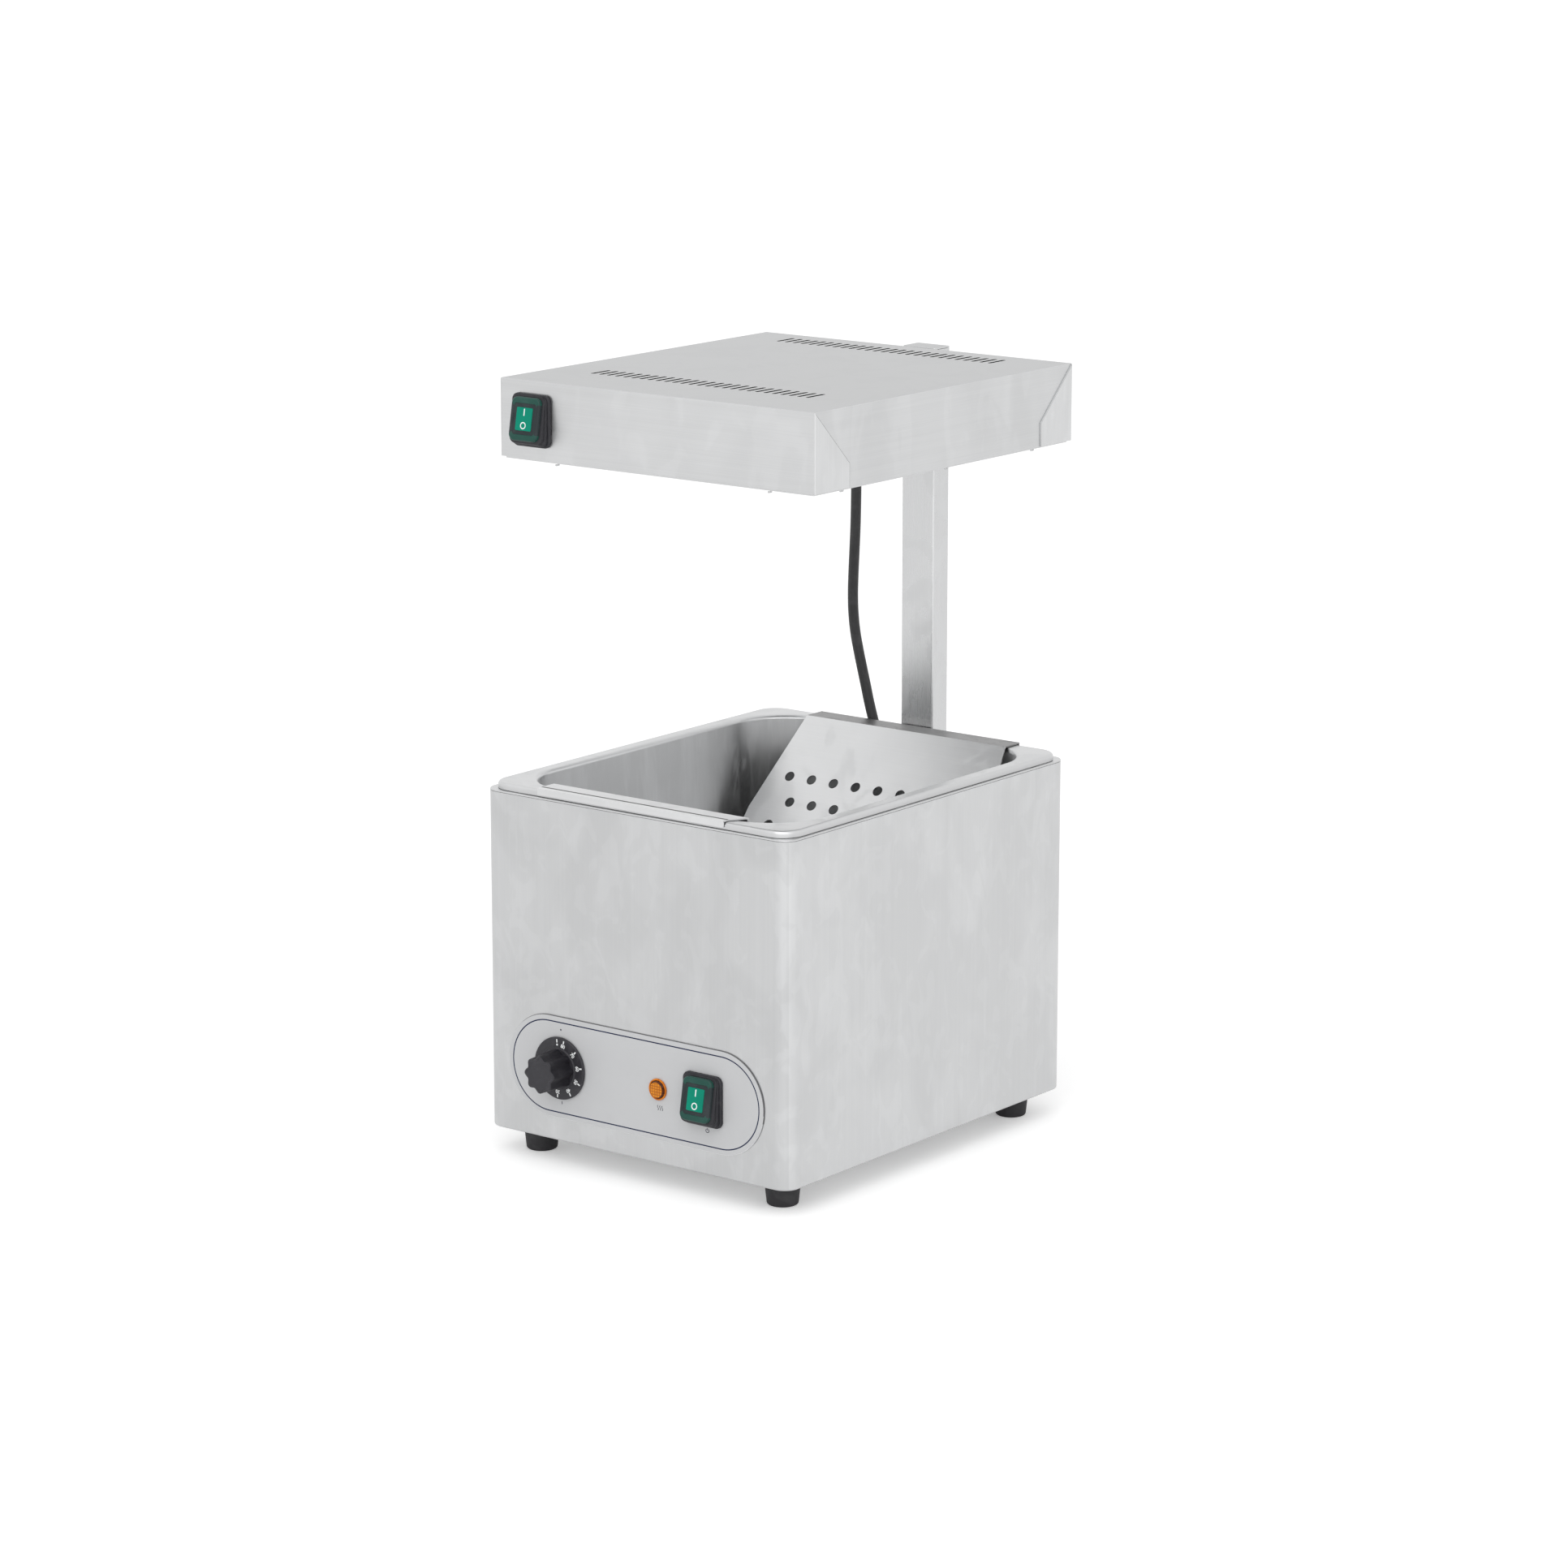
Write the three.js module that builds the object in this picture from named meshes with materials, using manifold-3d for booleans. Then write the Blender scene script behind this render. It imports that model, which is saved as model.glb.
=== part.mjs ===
// French fry dump station: a heated steel casing that holds a half-size gastronorm pan with a bent draining
// plate in it, and an infrared lamp head on a post behind the pan. Millimetres: x runs to the right along the
// control side, y from that side to the back, z up from the table. The origin is the middle of the casing's
// footprint, on the table.
import * as THREE from "three";
import { mergeVertices } from "three/addons/utils/BufferGeometryUtils.js";
import Module from "manifold-3d";

const wasm = await Module();
wasm.setup();

// Sheet metal and clearances
const sheet = 1;
const seatGap = 0.3;
const runningGap = 0.6;
const overrun = 3;
const mergeDistance = 1e-4;

// Casing, its deck and its base plate
const casingWidth = 270;
const casingDepth = 330;
const casingHeight = 246;
const casingCorner = 12;
const casingLip = 42;
const casingLipCorner = 6;
const deckSkirt = 10;
const basePlateMargin = 6;
const coolingSlotLength = 40;
const coolingSlotWidth = 4;
const coolingSlotPitch = 12;
const coolingSlots = 7;
const coolingSlotsX = 62;

// Feet and their screws
const footHeight = 19;
const footTopRadius = 13;
const footBaseRadius = 11;
const footEdge = 1.5;
const footInsetX = 26.5;
const footInsetY = 28.5;
const footRecessRadius = 6.5;
const footRecessDepth = 10;
const footScrewRadius = 2.5;
const footScrewHeadRadius = 4.8;
const footScrewHeadHeight = 3.2;
const footScrewEnd = 7;

// Gastronorm pan
const panRimWidth = 265;
const panRimDepth = 325;
const panRimCorner = 17;
const panRimHeight = 5;
const panMouthWidth = 241;
const panMouthDepth = 301;
const panMouthCorner = 44;
const panDeep = 150;
const panDraft = 7.5;
const panBottomRound = 14;
const panLipRound = 2.5;

// Heating well, its element and the element's bracket
const wellClearance = 2;
const wellSheet = 0.8;
const wellFlange = 6;
const wellElementSpace = 16;
const elementRadius = 3.25;
const elementLegPitch = 50;
const elementLegLength = 190;
const elementLegs = 4;
const elementLift = 8;
const elementTail = 24;
const elementTailBend = 8;
const bracketWidth = 8;
const bracketLength = 180;
const bracketPlaceY = 60;

// Bent draining plate
const plateHookDepth = 18;
const plateHookHalfWidth = 90;
const plateHalfWidth = 104.5;
const plateShiftX = 3.8;
const plateLip = 3.6;
const plateChuteAngle = 50;
const plateFloorLift = 11;
const plateFrontTaper = 8;
const plateTaperLength = 52;
const plateHoleRadius = 4;
const plateHolePitchX = 20.2;
const plateHolePitchY = 20.6;
const plateFirstRow = 51.6;
const plateHoleColumns = 9;
const plateRowMargin = 9;
const plateFrontMargin = 14;

// Control plate, thermostat, indicator and switches
const controlHeight = 54.25;
const controlPlateLength = 228;
const controlPlateHeight = 74;
const controlPlateThick = 0.8;
const controlPlateX = 1;
const knobX = -65.3;
const indicatorX = 22.7;
const baseSwitchX = 63.1;
const dialRadius = 22.6;
const dialThick = 1.8;
const dialBevel = 0.8;
const knobReach = 25;
const knobRadius = 14.4;
const knobFrontRadius = 13.6;
const knobFlutes = 8;
const knobFluteDepth = 1.7;
const knobEdge = 0.9;
const knobBoreDepth = 12;
const shaftRadius = 3;
const shaftInside = 18;
const thermostatWidth = 34;
const thermostatDeep = 30;
const bulbRadius = 3.5;
const bulbLength = 74;
const capillaryRadius = 1.1;
const indicatorRingRadius = 7.7;
const indicatorRingThick = 1;
const indicatorLensRadius = 6.4;
const indicatorLensThick = 1.4;
const indicatorBarrelRadius = 5.9;
const indicatorBarrelDeep = 24;

// Rocker switch with its sealing frame
const switchBodyWidth = 22;
const switchBodyHeight = 28;
const switchBodyDeep = 22;
const switchWall = 2;
const switchFlangeWidth = 29;
const switchFlangeHeight = 33;
const switchFlangeThick = 1.2;
const switchFrameWidth = 33.5;
const switchFrameHeight = 37;
const switchFrameThick = 2.5;
const switchFrameCorner = 5;
const switchMouthWidth = 24;
const switchMouthHeight = 29;
const rockerWidth = 27;
const rockerHeight = 32;
const rockerThick = 3;
const rockerCorner = 5;
const rockerBack = 7.2;
const rockerNeckWidth = 17;
const rockerNeckHeight = 18;
const rockerNeckDeep = 6;
const rockerPinRadius = 1.5;
const rockerPivotInside = 1;
const rockerThrow = 20;
const switchPocketDeep = 10;
const bladeThick = 0.8;
const bladeWidth = 6.3;
const bladeLength = 8;
const bladePitch = 9;

// Post, its cap, bolts and plates
const postWidth = 29;
const postDepth = 19;
const postWall = 1.5;
const postBottom = 59;
const postTopDrop = 1.4;
const postCapThick = 0.9;
const postCapPlug = 8;
const postStandoff = 0.5;
const postBoltRadius = 3.9;
const postBoltHeadRadius = 7.5;
const postBoltHeadHeight = 5.2;
const postBoltLow = 92;
const postBoltHigh = 222;
const backingWidth = 60;
const backingHeight = 170;
const backingThick = 2;
const postBoltEnd = 3;

// Lamp head
const headWidth = 275;
const headDepth = 300;
const headHeight = 55;
const headBottom = 497;
const headCentreY = 11.4;
const headTab = 38;
const headLip = 15;
const ventLength = 20;
const ventWidth = 2.2;
const ventPitch = 7.25;
const ventSlots = 27;
const ventX = -4;
const ventFrontInset = 62;
const ventRearInset = 26;
const trayInset = 2;
const trayMouthInsetX = 43.5;
const trayMouthInsetY = 50;
const headScrewRadius = 1.9;
const headScrewHeadRadius = 3.3;
const headScrewHeadHeight = 2.4;
const headScrewEnd = 4;
const headScrewInset = 8;
const headScrewSideInset = 44.5;
const headSideScrewShares = [-0.365, 0.035, 0.38];
const headSwitchInset = 29.5;
const bracketPlateWidth = 60;
const bracketPlateHeight = 40;
const bracketPlateLift = 8;
const bracketStudRadius = 2;
const bracketStudEnd = 5;
const bracketStudShare = 0.36;

// Lamps, holders, reflector and guard
const lampRadius = 5;
const lampEndInset = 34.5;
const lampLift = 16;
const lampPlaceY = 45;
const holderLength = 14;
const holderWidth = 18;
const holderHeight = 24;
const holderSocketDeep = 8;
const reflectorHeight = 41;
const reflectorFlare = 20;
const reflectorFootInset = 37;
const reflectorFoot = 9;
const reflectorEndInset = 47.5;
const reflectorSheet = 0.8;
const guardWireRadius = 1.1;
const guardOverlap = 6;
const guardWires = 9;

// Lead from the head to the base, with an elbow strain relief at each end
const leadRadius = 3.9;
const leadSides = 8;
const leadStepDiameters = 2.4;
const leadHeadX = -60.4;
const leadBaseX = -38.5;
const elbowReach = 9;
const elbowWidth = 16;
const elbowHeight = 15;
const elbowDeep = 17;
const elbowFlangeRadius = 10.5;
const elbowFlangeThick = 2.5;
const elbowStemRadius = 5.5;
const elbowNutRadius = 9;
const elbowNutThick = 4;
const elbowSleeve = 22;
const elbowSleeveRootRadius = 7;
const elbowSleeveEndRadius = 5.2;
const headElbowHeight = 26;
const baseElbowHeight = 184;

// Mains inlet gland and terminal block
const glandInset = 43;
const glandHeight = 42;
const glandRadius = 10;
const glandBoreRadius = 3.8;
const glandOutside = 16;
const glandInside = 9;
const terminalInset = 69;
const terminalY = 70;
const terminalLength = 48;
const terminalWidth = 20;
const terminalHeight = 16;
const terminalWays = 3;
const terminalBore = 3;

// Facets
const arcSteps = 4;
const roundSides = 20;
const smallSides = 12;
const barSides = 8;
const holeSides = 6;
const fluteSteps = 4;
const panRoundSteps = 3;

const QUARTER = Math.PI / 2;
const FULL = Math.PI * 2;
const radians = THREE.MathUtils.degToRad;

// Places that follow from the sizes above
const casingFront = -casingDepth / 2;
const casingRear = casingDepth / 2;
const casingTop = footHeight + casingHeight;
const shellTop = casingHeight - sheet - seatGap;
const panBodyWidth = panMouthWidth + 2 * sheet;
const panBodyDepth = panMouthDepth + 2 * sheet;
const panBodyCorner = panMouthCorner + sheet;
const wellWidth = panBodyWidth + 2 * wellClearance;
const wellDepth = panBodyDepth + 2 * wellClearance;
const wellCorner = panBodyCorner + wellClearance;
const panFloor = panRimHeight - panDeep;
const wellFloor = panFloor - sheet - wellElementSpace;
const postFront = casingRear + postStandoff;
const headRear = headCentreY + headDepth / 2;
const postTop = headBottom + headHeight - postTopDrop;
const glandX = casingWidth / 2 - glandInset;
const terminalX = casingWidth / 2 - terminalInset;
const headSwitchX = headSwitchInset - headWidth / 2;
const headScrewFrontX = headWidth / 2 - headScrewSideInset;
const trayMouthWidth = headWidth - 2 * trayMouthInsetX;
const trayMouthDepth = headDepth - 2 * trayMouthInsetY;
const guardWidth = trayMouthWidth + 2 * guardOverlap;
const guardDepth = trayMouthDepth + 2 * guardOverlap;
const lampLength = headWidth - 2 * lampEndInset;
const reflectorLength = headWidth - 2 * reflectorEndInset;
const reflectorFootHalf = headDepth / 2 - reflectorFootInset;
const reflectorTopHalf = reflectorFootHalf - reflectorFoot - reflectorFlare;

// Steel of the sheet parts, the polished insides, plastics and the rest
const finish = (color, roughness, metalness) =>
  new THREE.MeshStandardMaterial({ color, roughness, metalness });
const brushedSteel = finish(0xc9cacb, 0.35, 1);
const polishedSteel = finish(0xbfc1c3, 0.22, 1);
const zincSteel = finish(0x9fa2a4, 0.45, 1);
const blackRubber = finish(0x2c2b2e, 0.8, 0);
const blackPlastic = finish(0x38373c, 0.5, 0);
const greenPlastic = finish(0x1f4a42, 0.35, 0);
const amberPlastic = finish(0xe98a1f, 0.25, 0);
const plateFilm = finish(0xcfd0d1, 0.5, 0);
const ceramic = finish(0xe6e0d2, 0.7, 0);
const quartz = finish(0xe9eef2, 0.1, 0);
const copper = finish(0xb4774b, 0.35, 1);
const leadSheath = finish(0x3c3c3e, 0.6, 0);

// Makes a closed three.js geometry a solid that can be joined and cut. A profile drawn the other way round
// gives faces that point inwards, so these are turned.
function solid(geometry) {
  const loose = geometry.index ? geometry.toNonIndexed() : geometry.clone();
  loose.deleteAttribute("normal");
  loose.deleteAttribute("uv");
  const merged = mergeVertices(loose, mergeDistance);
  const vertProperties = merged.attributes.position.array;
  const triVerts = new Uint32Array(merged.index.array);
  const made = new wasm.Manifold(new wasm.Mesh({ numProp: 3, vertProperties, triVerts }));
  if (made.volume() > 0) return made;
  return new wasm.Manifold(new wasm.Mesh({ numProp: 3, vertProperties, triVerts: triVerts.reverse() }));
}

// Joins a list of solids into one.
const joined = (solids) => solids.reduce((sum, next) => sum.add(next));

// Cuts every solid of a list out of the first.
const without = (body, cuts) => cuts.reduce((left, cut) => left.subtract(cut), body);

// Places a named sub-part in its group.
function place(group, name, body, material, position = [0, 0, 0]) {
  const made = body.getMesh();
  const geometry = new THREE.BufferGeometry();
  geometry.setAttribute("position", new THREE.BufferAttribute(made.vertProperties, made.numProp));
  geometry.setIndex(new THREE.BufferAttribute(made.triVerts, 1));
  const flat = geometry.toNonIndexed();
  flat.computeVertexNormals();
  const mesh = new THREE.Mesh(flat, material);
  mesh.name = name;
  mesh.position.set(...position);
  group.add(mesh);
  return mesh;
}

// Rounded rectangle about a centre.
function rounded(width, height, corner, x = 0, y = 0) {
  const shape = new THREE.Shape();
  const halfX = width / 2 - corner;
  const halfY = height / 2 - corner;
  shape.absarc(x + halfX, y + halfY, corner, 0, QUARTER);
  shape.absarc(x - halfX, y + halfY, corner, QUARTER, 2 * QUARTER);
  shape.absarc(x - halfX, y - halfY, corner, 2 * QUARTER, 3 * QUARTER);
  shape.absarc(x + halfX, y - halfY, corner, 3 * QUARTER, 4 * QUARTER);
  return shape;
}

// Regular polygon that stands for a circle.
function disc(radius, sides, x = 0, y = 0) {
  const corners = Array.from({ length: sides }, (_, i) => {
    const angle = (FULL * (i + 0.5)) / sides;
    return new THREE.Vector2(x + radius * Math.cos(angle), y + radius * Math.sin(angle));
  });
  return new THREE.Shape(corners);
}

// Plan outline, raised from one height to another.
function upright(shape, low, high, steps = arcSteps) {
  const options = { depth: high - low, bevelEnabled: false, curveSegments: steps };
  return solid(new THREE.ExtrudeGeometry(shape, options).translate(0, 0, low));
}

// Outline seen from the front, its x across and its y up, drawn out from one depth to another.
function facing(shape, front, rear, steps = arcSteps) {
  const options = { depth: rear - front, bevelEnabled: false, curveSegments: steps };
  return solid(new THREE.ExtrudeGeometry(shape, options).rotateX(QUARTER).translate(0, rear, 0));
}

// Outline seen from the side, its x to the back and its y up, drawn out from one x to another.
function across(shape, left, right) {
  const turn = new THREE.Matrix4().makeBasis(
    new THREE.Vector3(0, 1, 0),
    new THREE.Vector3(0, 0, 1),
    new THREE.Vector3(1, 0, 0),
  );
  const options = { depth: right - left, bevelEnabled: false };
  return solid(new THREE.ExtrudeGeometry(shape, options).applyMatrix4(turn).translate(left, 0, 0));
}

// Block between two corners.
function block(x0, x1, y0, y1, z0, z1) {
  const geometry = new THREE.BoxGeometry(x1 - x0, y1 - y0, z1 - z0);
  return solid(geometry.translate((x0 + x1) / 2, (y0 + y1) / 2, (z0 + z1) / 2));
}

// Piece turned about an axis that stands up, from a closed profile of radius and height.
function turned(profile, sides = roundSides) {
  const points = profile.map(([radius, height]) => new THREE.Vector2(radius, height));
  return solid(new THREE.LatheGeometry(points, sides).rotateX(QUARTER));
}

// Piece turned about an axis that runs to the back, from a closed profile of radius and depth.
function turnedBack(profile, sides = roundSides) {
  const points = profile.map(([radius, depth]) => new THREE.Vector2(radius, depth));
  return solid(new THREE.LatheGeometry(points, sides));
}

// Points of a rounded rectangle at one height.
function ring(width, depth, corner, height) {
  const outline = rounded(width, depth, corner).getPoints(arcSteps);
  return outline.slice(0, -1).map((point) => new THREE.Vector3(point.x, point.y, height));
}

// Skin over a stack of rings with the same number of points, closed by a flat face at each end.
function loft(rings) {
  const count = rings[0].length;
  const positions = rings.flat().flatMap((point) => point.toArray());
  const faces = [];
  for (let level = 0; level + 1 < rings.length; level++) {
    for (let i = 0; i < count; i++) {
      const here = level * count + i;
      const next = level * count + ((i + 1) % count);
      faces.push(here, next, next + count, here, next + count, here + count);
    }
  }
  const last = (rings.length - 1) * count;
  for (let i = 1; i + 1 < count; i++) {
    faces.push(0, i + 1, i, last, last + i, last + i + 1);
  }
  const geometry = new THREE.BufferGeometry();
  geometry.setAttribute("position", new THREE.Float32BufferAttribute(positions, 3));
  geometry.setIndex(faces);
  return solid(geometry);
}

// Closed outline of a bent sheet: the line of its one face, and the same line moved over by the thickness.
function bentSheet(line, thickness) {
  const normals = line.slice(1).map((end, i) => {
    const along = new THREE.Vector2(end[0] - line[i][0], end[1] - line[i][1]).normalize();
    return new THREE.Vector2(-along.y, along.x);
  });
  const moved = line.map(([x, y], i) => {
    const before = normals[Math.max(i - 1, 0)];
    const after = normals[Math.min(i, normals.length - 1)];
    const mitre = before.clone().add(after).normalize();
    const reach = thickness / mitre.dot(before);
    return new THREE.Vector2(x + mitre.x * reach, y + mitre.y * reach);
  });
  const face = line.map(([x, y]) => new THREE.Vector2(x, y));
  return new THREE.Shape([...face, ...moved.reverse()]);
}

// Round bar along a smooth or straight-sided path.
function bar(path, radius, sides, steps) {
  const options = { steps, bevelEnabled: false, extrudePath: path };
  return solid(new THREE.ExtrudeGeometry(disc(radius, sides), options));
}

// Round rod through a list of points, each of its rings in the plane that halves the bend there.
function rod(points, radius, sides) {
  const first = points[1].clone().sub(points[0]);
  const side = new THREE.Vector3(first.y, first.z, first.x).cross(first);
  const rings = points.map((point, i) => {
    const before = points[Math.max(i - 1, 0)];
    const along = points[Math.min(i + 1, points.length - 1)].clone().sub(before).normalize();
    side.addScaledVector(along, -side.dot(along)).normalize();
    const up = along.clone().cross(side);
    return Array.from({ length: sides }, (_, corner) => {
      const angle = (FULL * corner) / sides;
      const across = side.clone().multiplyScalar(radius * Math.cos(angle));
      return point.clone().add(across).addScaledVector(up, radius * Math.sin(angle));
    });
  });
  return loft(rings);
}

const station = new THREE.Group();

// Casing
const casing = new THREE.Group();
casing.position.z = footHeight;
station.add(casing);

const footPlaces = [
  ["front_left", -1, -1],
  ["front_right", 1, -1],
  ["rear_left", -1, 1],
  ["rear_right", 1, 1],
].map(([name, sideX, sideY]) => ({
  name,
  x: sideX * (casingWidth / 2 - footInsetX),
  y: sideY * (casingDepth / 2 - footInsetY),
}));
const footScrewHole = footScrewRadius + seatGap;
const switchCutWidth = switchBodyWidth + 2 * seatGap;
const switchCutHeight = switchBodyHeight + 2 * seatGap;

// Round holes through the casing's front wall, back wall and bottom lip, each cut by a bar of its own.
const frontHoles = [
  [knobX, shaftRadius + runningGap],
  [indicatorX, indicatorBarrelRadius + seatGap],
].map(([x, radius]) =>
  facing(disc(radius, smallSides, x, controlHeight), casingFront - overrun, casingFront + sheet + overrun),
);
frontHoles.push(
  facing(
    rounded(switchCutWidth, switchCutHeight, sheet, baseSwitchX, controlHeight),
    casingFront - overrun,
    casingFront + sheet + overrun,
    1,
  ),
);
const rearHoles = [
  [0, postBoltLow - footHeight, postBoltRadius + seatGap],
  [0, postBoltHigh - footHeight, postBoltRadius + seatGap],
  [leadBaseX, baseElbowHeight, elbowStemRadius + seatGap],
  [glandX, glandHeight, glandRadius - sheet + seatGap],
].map(([x, z, radius]) =>
  facing(disc(radius, smallSides, x, z), casingRear - sheet - overrun, casingRear + overrun),
);
const footHoles = footPlaces.map(({ x, y }) =>
  upright(disc(footScrewHole, smallSides, x, y), -overrun, 2 * sheet + seatGap + overrun),
);

place(
  casing,
  "casing_shell",
  without(upright(rounded(casingWidth, casingDepth, casingCorner), 0, shellTop), [
    upright(
      rounded(casingWidth - 2 * sheet, casingDepth - 2 * sheet, casingCorner - sheet),
      sheet,
      shellTop + overrun,
    ),
    upright(
      rounded(casingWidth - 2 * casingLip, casingDepth - 2 * casingLip, casingLipCorner),
      -overrun,
      sheet + overrun,
      1,
    ),
    ...frontHoles,
    ...rearHoles,
    ...footHoles,
  ]),
  brushedSteel,
);

const deckSkirtOuter = sheet + seatGap;
const deckSkirtInner = deckSkirtOuter + sheet;
place(
  casing,
  "casing_deck",
  without(
    joined([
      upright(rounded(casingWidth, casingDepth, casingCorner), casingHeight - sheet, casingHeight),
      upright(
        rounded(
          casingWidth - 2 * deckSkirtOuter,
          casingDepth - 2 * deckSkirtOuter,
          casingCorner - deckSkirtOuter,
        ),
        casingHeight - sheet - deckSkirt,
        casingHeight - sheet / 2,
      ),
    ]),
    [
      upright(
        rounded(
          casingWidth - 2 * deckSkirtInner,
          casingDepth - 2 * deckSkirtInner,
          casingCorner - deckSkirtInner,
        ),
        casingHeight - sheet - deckSkirt - overrun,
        casingHeight - sheet,
      ),
      upright(rounded(wellWidth, wellDepth, wellCorner), casingHeight - 2 * sheet, casingHeight + overrun),
    ],
  ),
  brushedSteel,
);

const coolingCuts = [-1, 1].flatMap((side) =>
  Array.from({ length: coolingSlots }, (_, i) => {
    const y = (i - (coolingSlots - 1) / 2) * coolingSlotPitch;
    return block(
      side * coolingSlotsX - coolingSlotLength / 2,
      side * coolingSlotsX + coolingSlotLength / 2,
      y - coolingSlotWidth / 2,
      y + coolingSlotWidth / 2,
      -overrun,
      2 * sheet + seatGap + overrun,
    );
  }),
);
place(
  casing,
  "base_plate",
  without(
    upright(
      rounded(casingWidth - 2 * basePlateMargin, casingDepth - 2 * basePlateMargin, basePlateMargin),
      sheet + seatGap,
      2 * sheet + seatGap,
      2,
    ),
    [...footHoles, ...coolingCuts],
  ),
  zincSteel,
);

// Feet, each with a screw in the recess of its underside
const footBody = turned([
  [footRecessRadius, 0],
  [footBaseRadius - footEdge, 0],
  [footBaseRadius, footEdge],
  [footTopRadius, footHeight - seatGap],
  [footScrewHole, footHeight - seatGap],
  [footScrewHole, footRecessDepth],
  [footRecessRadius, footRecessDepth],
  [footRecessRadius, 0],
]);
const footScrewTop = footRecessDepth - seatGap;
const footScrewBody = turned(
  [
    [0, footScrewTop - footScrewHeadHeight],
    [footScrewHeadRadius, footScrewTop - footScrewHeadHeight],
    [footScrewHeadRadius, footScrewTop],
    [footScrewRadius, footScrewTop],
    [footScrewRadius, footHeight + footScrewEnd],
    [0, footHeight + footScrewEnd],
  ],
  smallSides,
);
for (const { name, x, y } of footPlaces) {
  place(station, `foot_${name}`, footBody, blackRubber, [x, y, 0]);
  place(station, `foot_screw_${name}`, footScrewBody, zincSteel, [x, y, 0]);
}

// Everything that hangs in the deck's opening is placed from the deck's top face.
const deckLevel = new THREE.Group();
deckLevel.position.z = casingTop;
station.add(deckLevel);

// Heating well with its flange under the deck
const wellTop = -sheet - seatGap;
const elementLegsX = Array.from(
  { length: elementLegs },
  (_, i) => (i - (elementLegs - 1) / 2) * elementLegPitch,
);
const elementHeight = wellFloor + elementLift;
const elementRearY = elementLegLength / 2;
place(
  deckLevel,
  "heating_well",
  without(
    joined([
      upright(
        rounded(wellWidth + 2 * wellSheet, wellDepth + 2 * wellSheet, wellCorner + wellSheet),
        wellFloor - wellSheet,
        wellTop,
      ),
      upright(
        rounded(wellWidth + 2 * wellFlange, wellDepth + 2 * wellFlange, wellCorner + wellFlange),
        wellTop - wellSheet,
        wellTop,
      ),
    ]),
    [
      upright(rounded(wellWidth, wellDepth, wellCorner), wellFloor, wellTop + overrun),
      ...[0, elementLegs - 1].map((i) =>
        upright(
          disc(elementRadius + seatGap, smallSides, elementLegsX[i], elementRearY + elementTailBend),
          wellFloor - wellSheet - overrun,
          wellFloor + overrun,
        ),
      ),
    ],
  ),
  zincSteel,
);

// Line of the tubular element: four legs joined by half circles, with both ends bent down through the well's
// floor. It is a list of points, so that the long legs take no facets.
function elementLine() {
  const bend = elementLegPitch / 2;
  const tail = (x) => [
    new THREE.Vector3(x, elementRearY + elementTailBend, elementHeight - elementTailBend - elementTail),
    ...Array.from({ length: panRoundSteps + 1 }, (_, step) => {
      const angle = (QUARTER * step) / panRoundSteps;
      const y = elementRearY + elementTailBend * Math.cos(angle);
      return new THREE.Vector3(x, y, elementHeight - elementTailBend * (1 - Math.sin(angle)));
    }),
  ];
  const turns = elementLegsX.slice(0, -1).flatMap((x, i) =>
    Array.from({ length: arcSteps + 1 }, (_, step) => {
      const angle = (Math.PI * step) / arcSteps;
      const y = elementRearY - bend + bend * Math.sin(angle);
      return new THREE.Vector3(x + bend - bend * Math.cos(angle), i % 2 ? y : -y, elementHeight);
    }),
  );
  return [...tail(elementLegsX[0]), ...turns, ...tail(elementLegsX[elementLegs - 1]).reverse()];
}
place(deckLevel, "heating_element", rod(elementLine(), elementRadius, barSides), zincSteel);

const bracketTop = elementHeight - elementRadius - seatGap;
place(
  deckLevel,
  "element_bracket",
  joined([
    ...[-1, 1].map((side) =>
      block(
        -bracketLength / 2,
        bracketLength / 2,
        side * bracketPlaceY - bracketWidth / 2,
        side * bracketPlaceY + bracketWidth / 2,
        wellFloor + seatGap,
        bracketTop,
      ),
    ),
    block(
      -bracketWidth / 2,
      bracketWidth / 2,
      -bracketPlaceY,
      bracketPlaceY,
      wellFloor + seatGap,
      bracketTop,
    ),
  ]),
  zincSteel,
);

// Pan: drafted walls, a rounded bottom edge, a flat rim and a skirt that reaches down to the deck
function panBowl(grow, top) {
  const level = (height, tuck) => {
    const inset = (panDraft * (panRimHeight - height)) / panDeep + tuck - grow;
    return ring(panMouthWidth - 2 * inset, panMouthDepth - 2 * inset, panMouthCorner - inset, height);
  };
  const round = panBottomRound + grow;
  const curve = Array.from({ length: panRoundSteps + 1 }, (_, step) => {
    const angle = (QUARTER * step) / panRoundSteps;
    return level(panFloor + panBottomRound - round * Math.cos(angle), round * (1 - Math.sin(angle)));
  });
  return loft([...curve, level(top, 0)]);
}
const panRimUnder = panRimHeight - sheet;
const rimRing = (tuck, height) =>
  ring(panRimWidth - 2 * tuck, panRimDepth - 2 * tuck, panRimCorner - tuck, height);
const rimRounding = Array.from({ length: panRoundSteps + 1 }, (_, step) => {
  const angle = (QUARTER * step) / panRoundSteps;
  return rimRing(panLipRound * (1 - Math.cos(angle)), panRimHeight - panLipRound * (1 - Math.sin(angle)));
});
const rimInside = rounded(panRimWidth - 2 * sheet, panRimDepth - 2 * sheet, panRimCorner - sheet);
place(
  deckLevel,
  "gn_pan",
  joined([
    loft([rimRing(0, seatGap), ...rimRounding]).subtract(upright(rimInside, 0, panRimUnder)),
    panBowl(sheet, panRimUnder + sheet / 2),
  ]).subtract(panBowl(0, panRimHeight + overrun)),
  polishedSteel,
);

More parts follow.
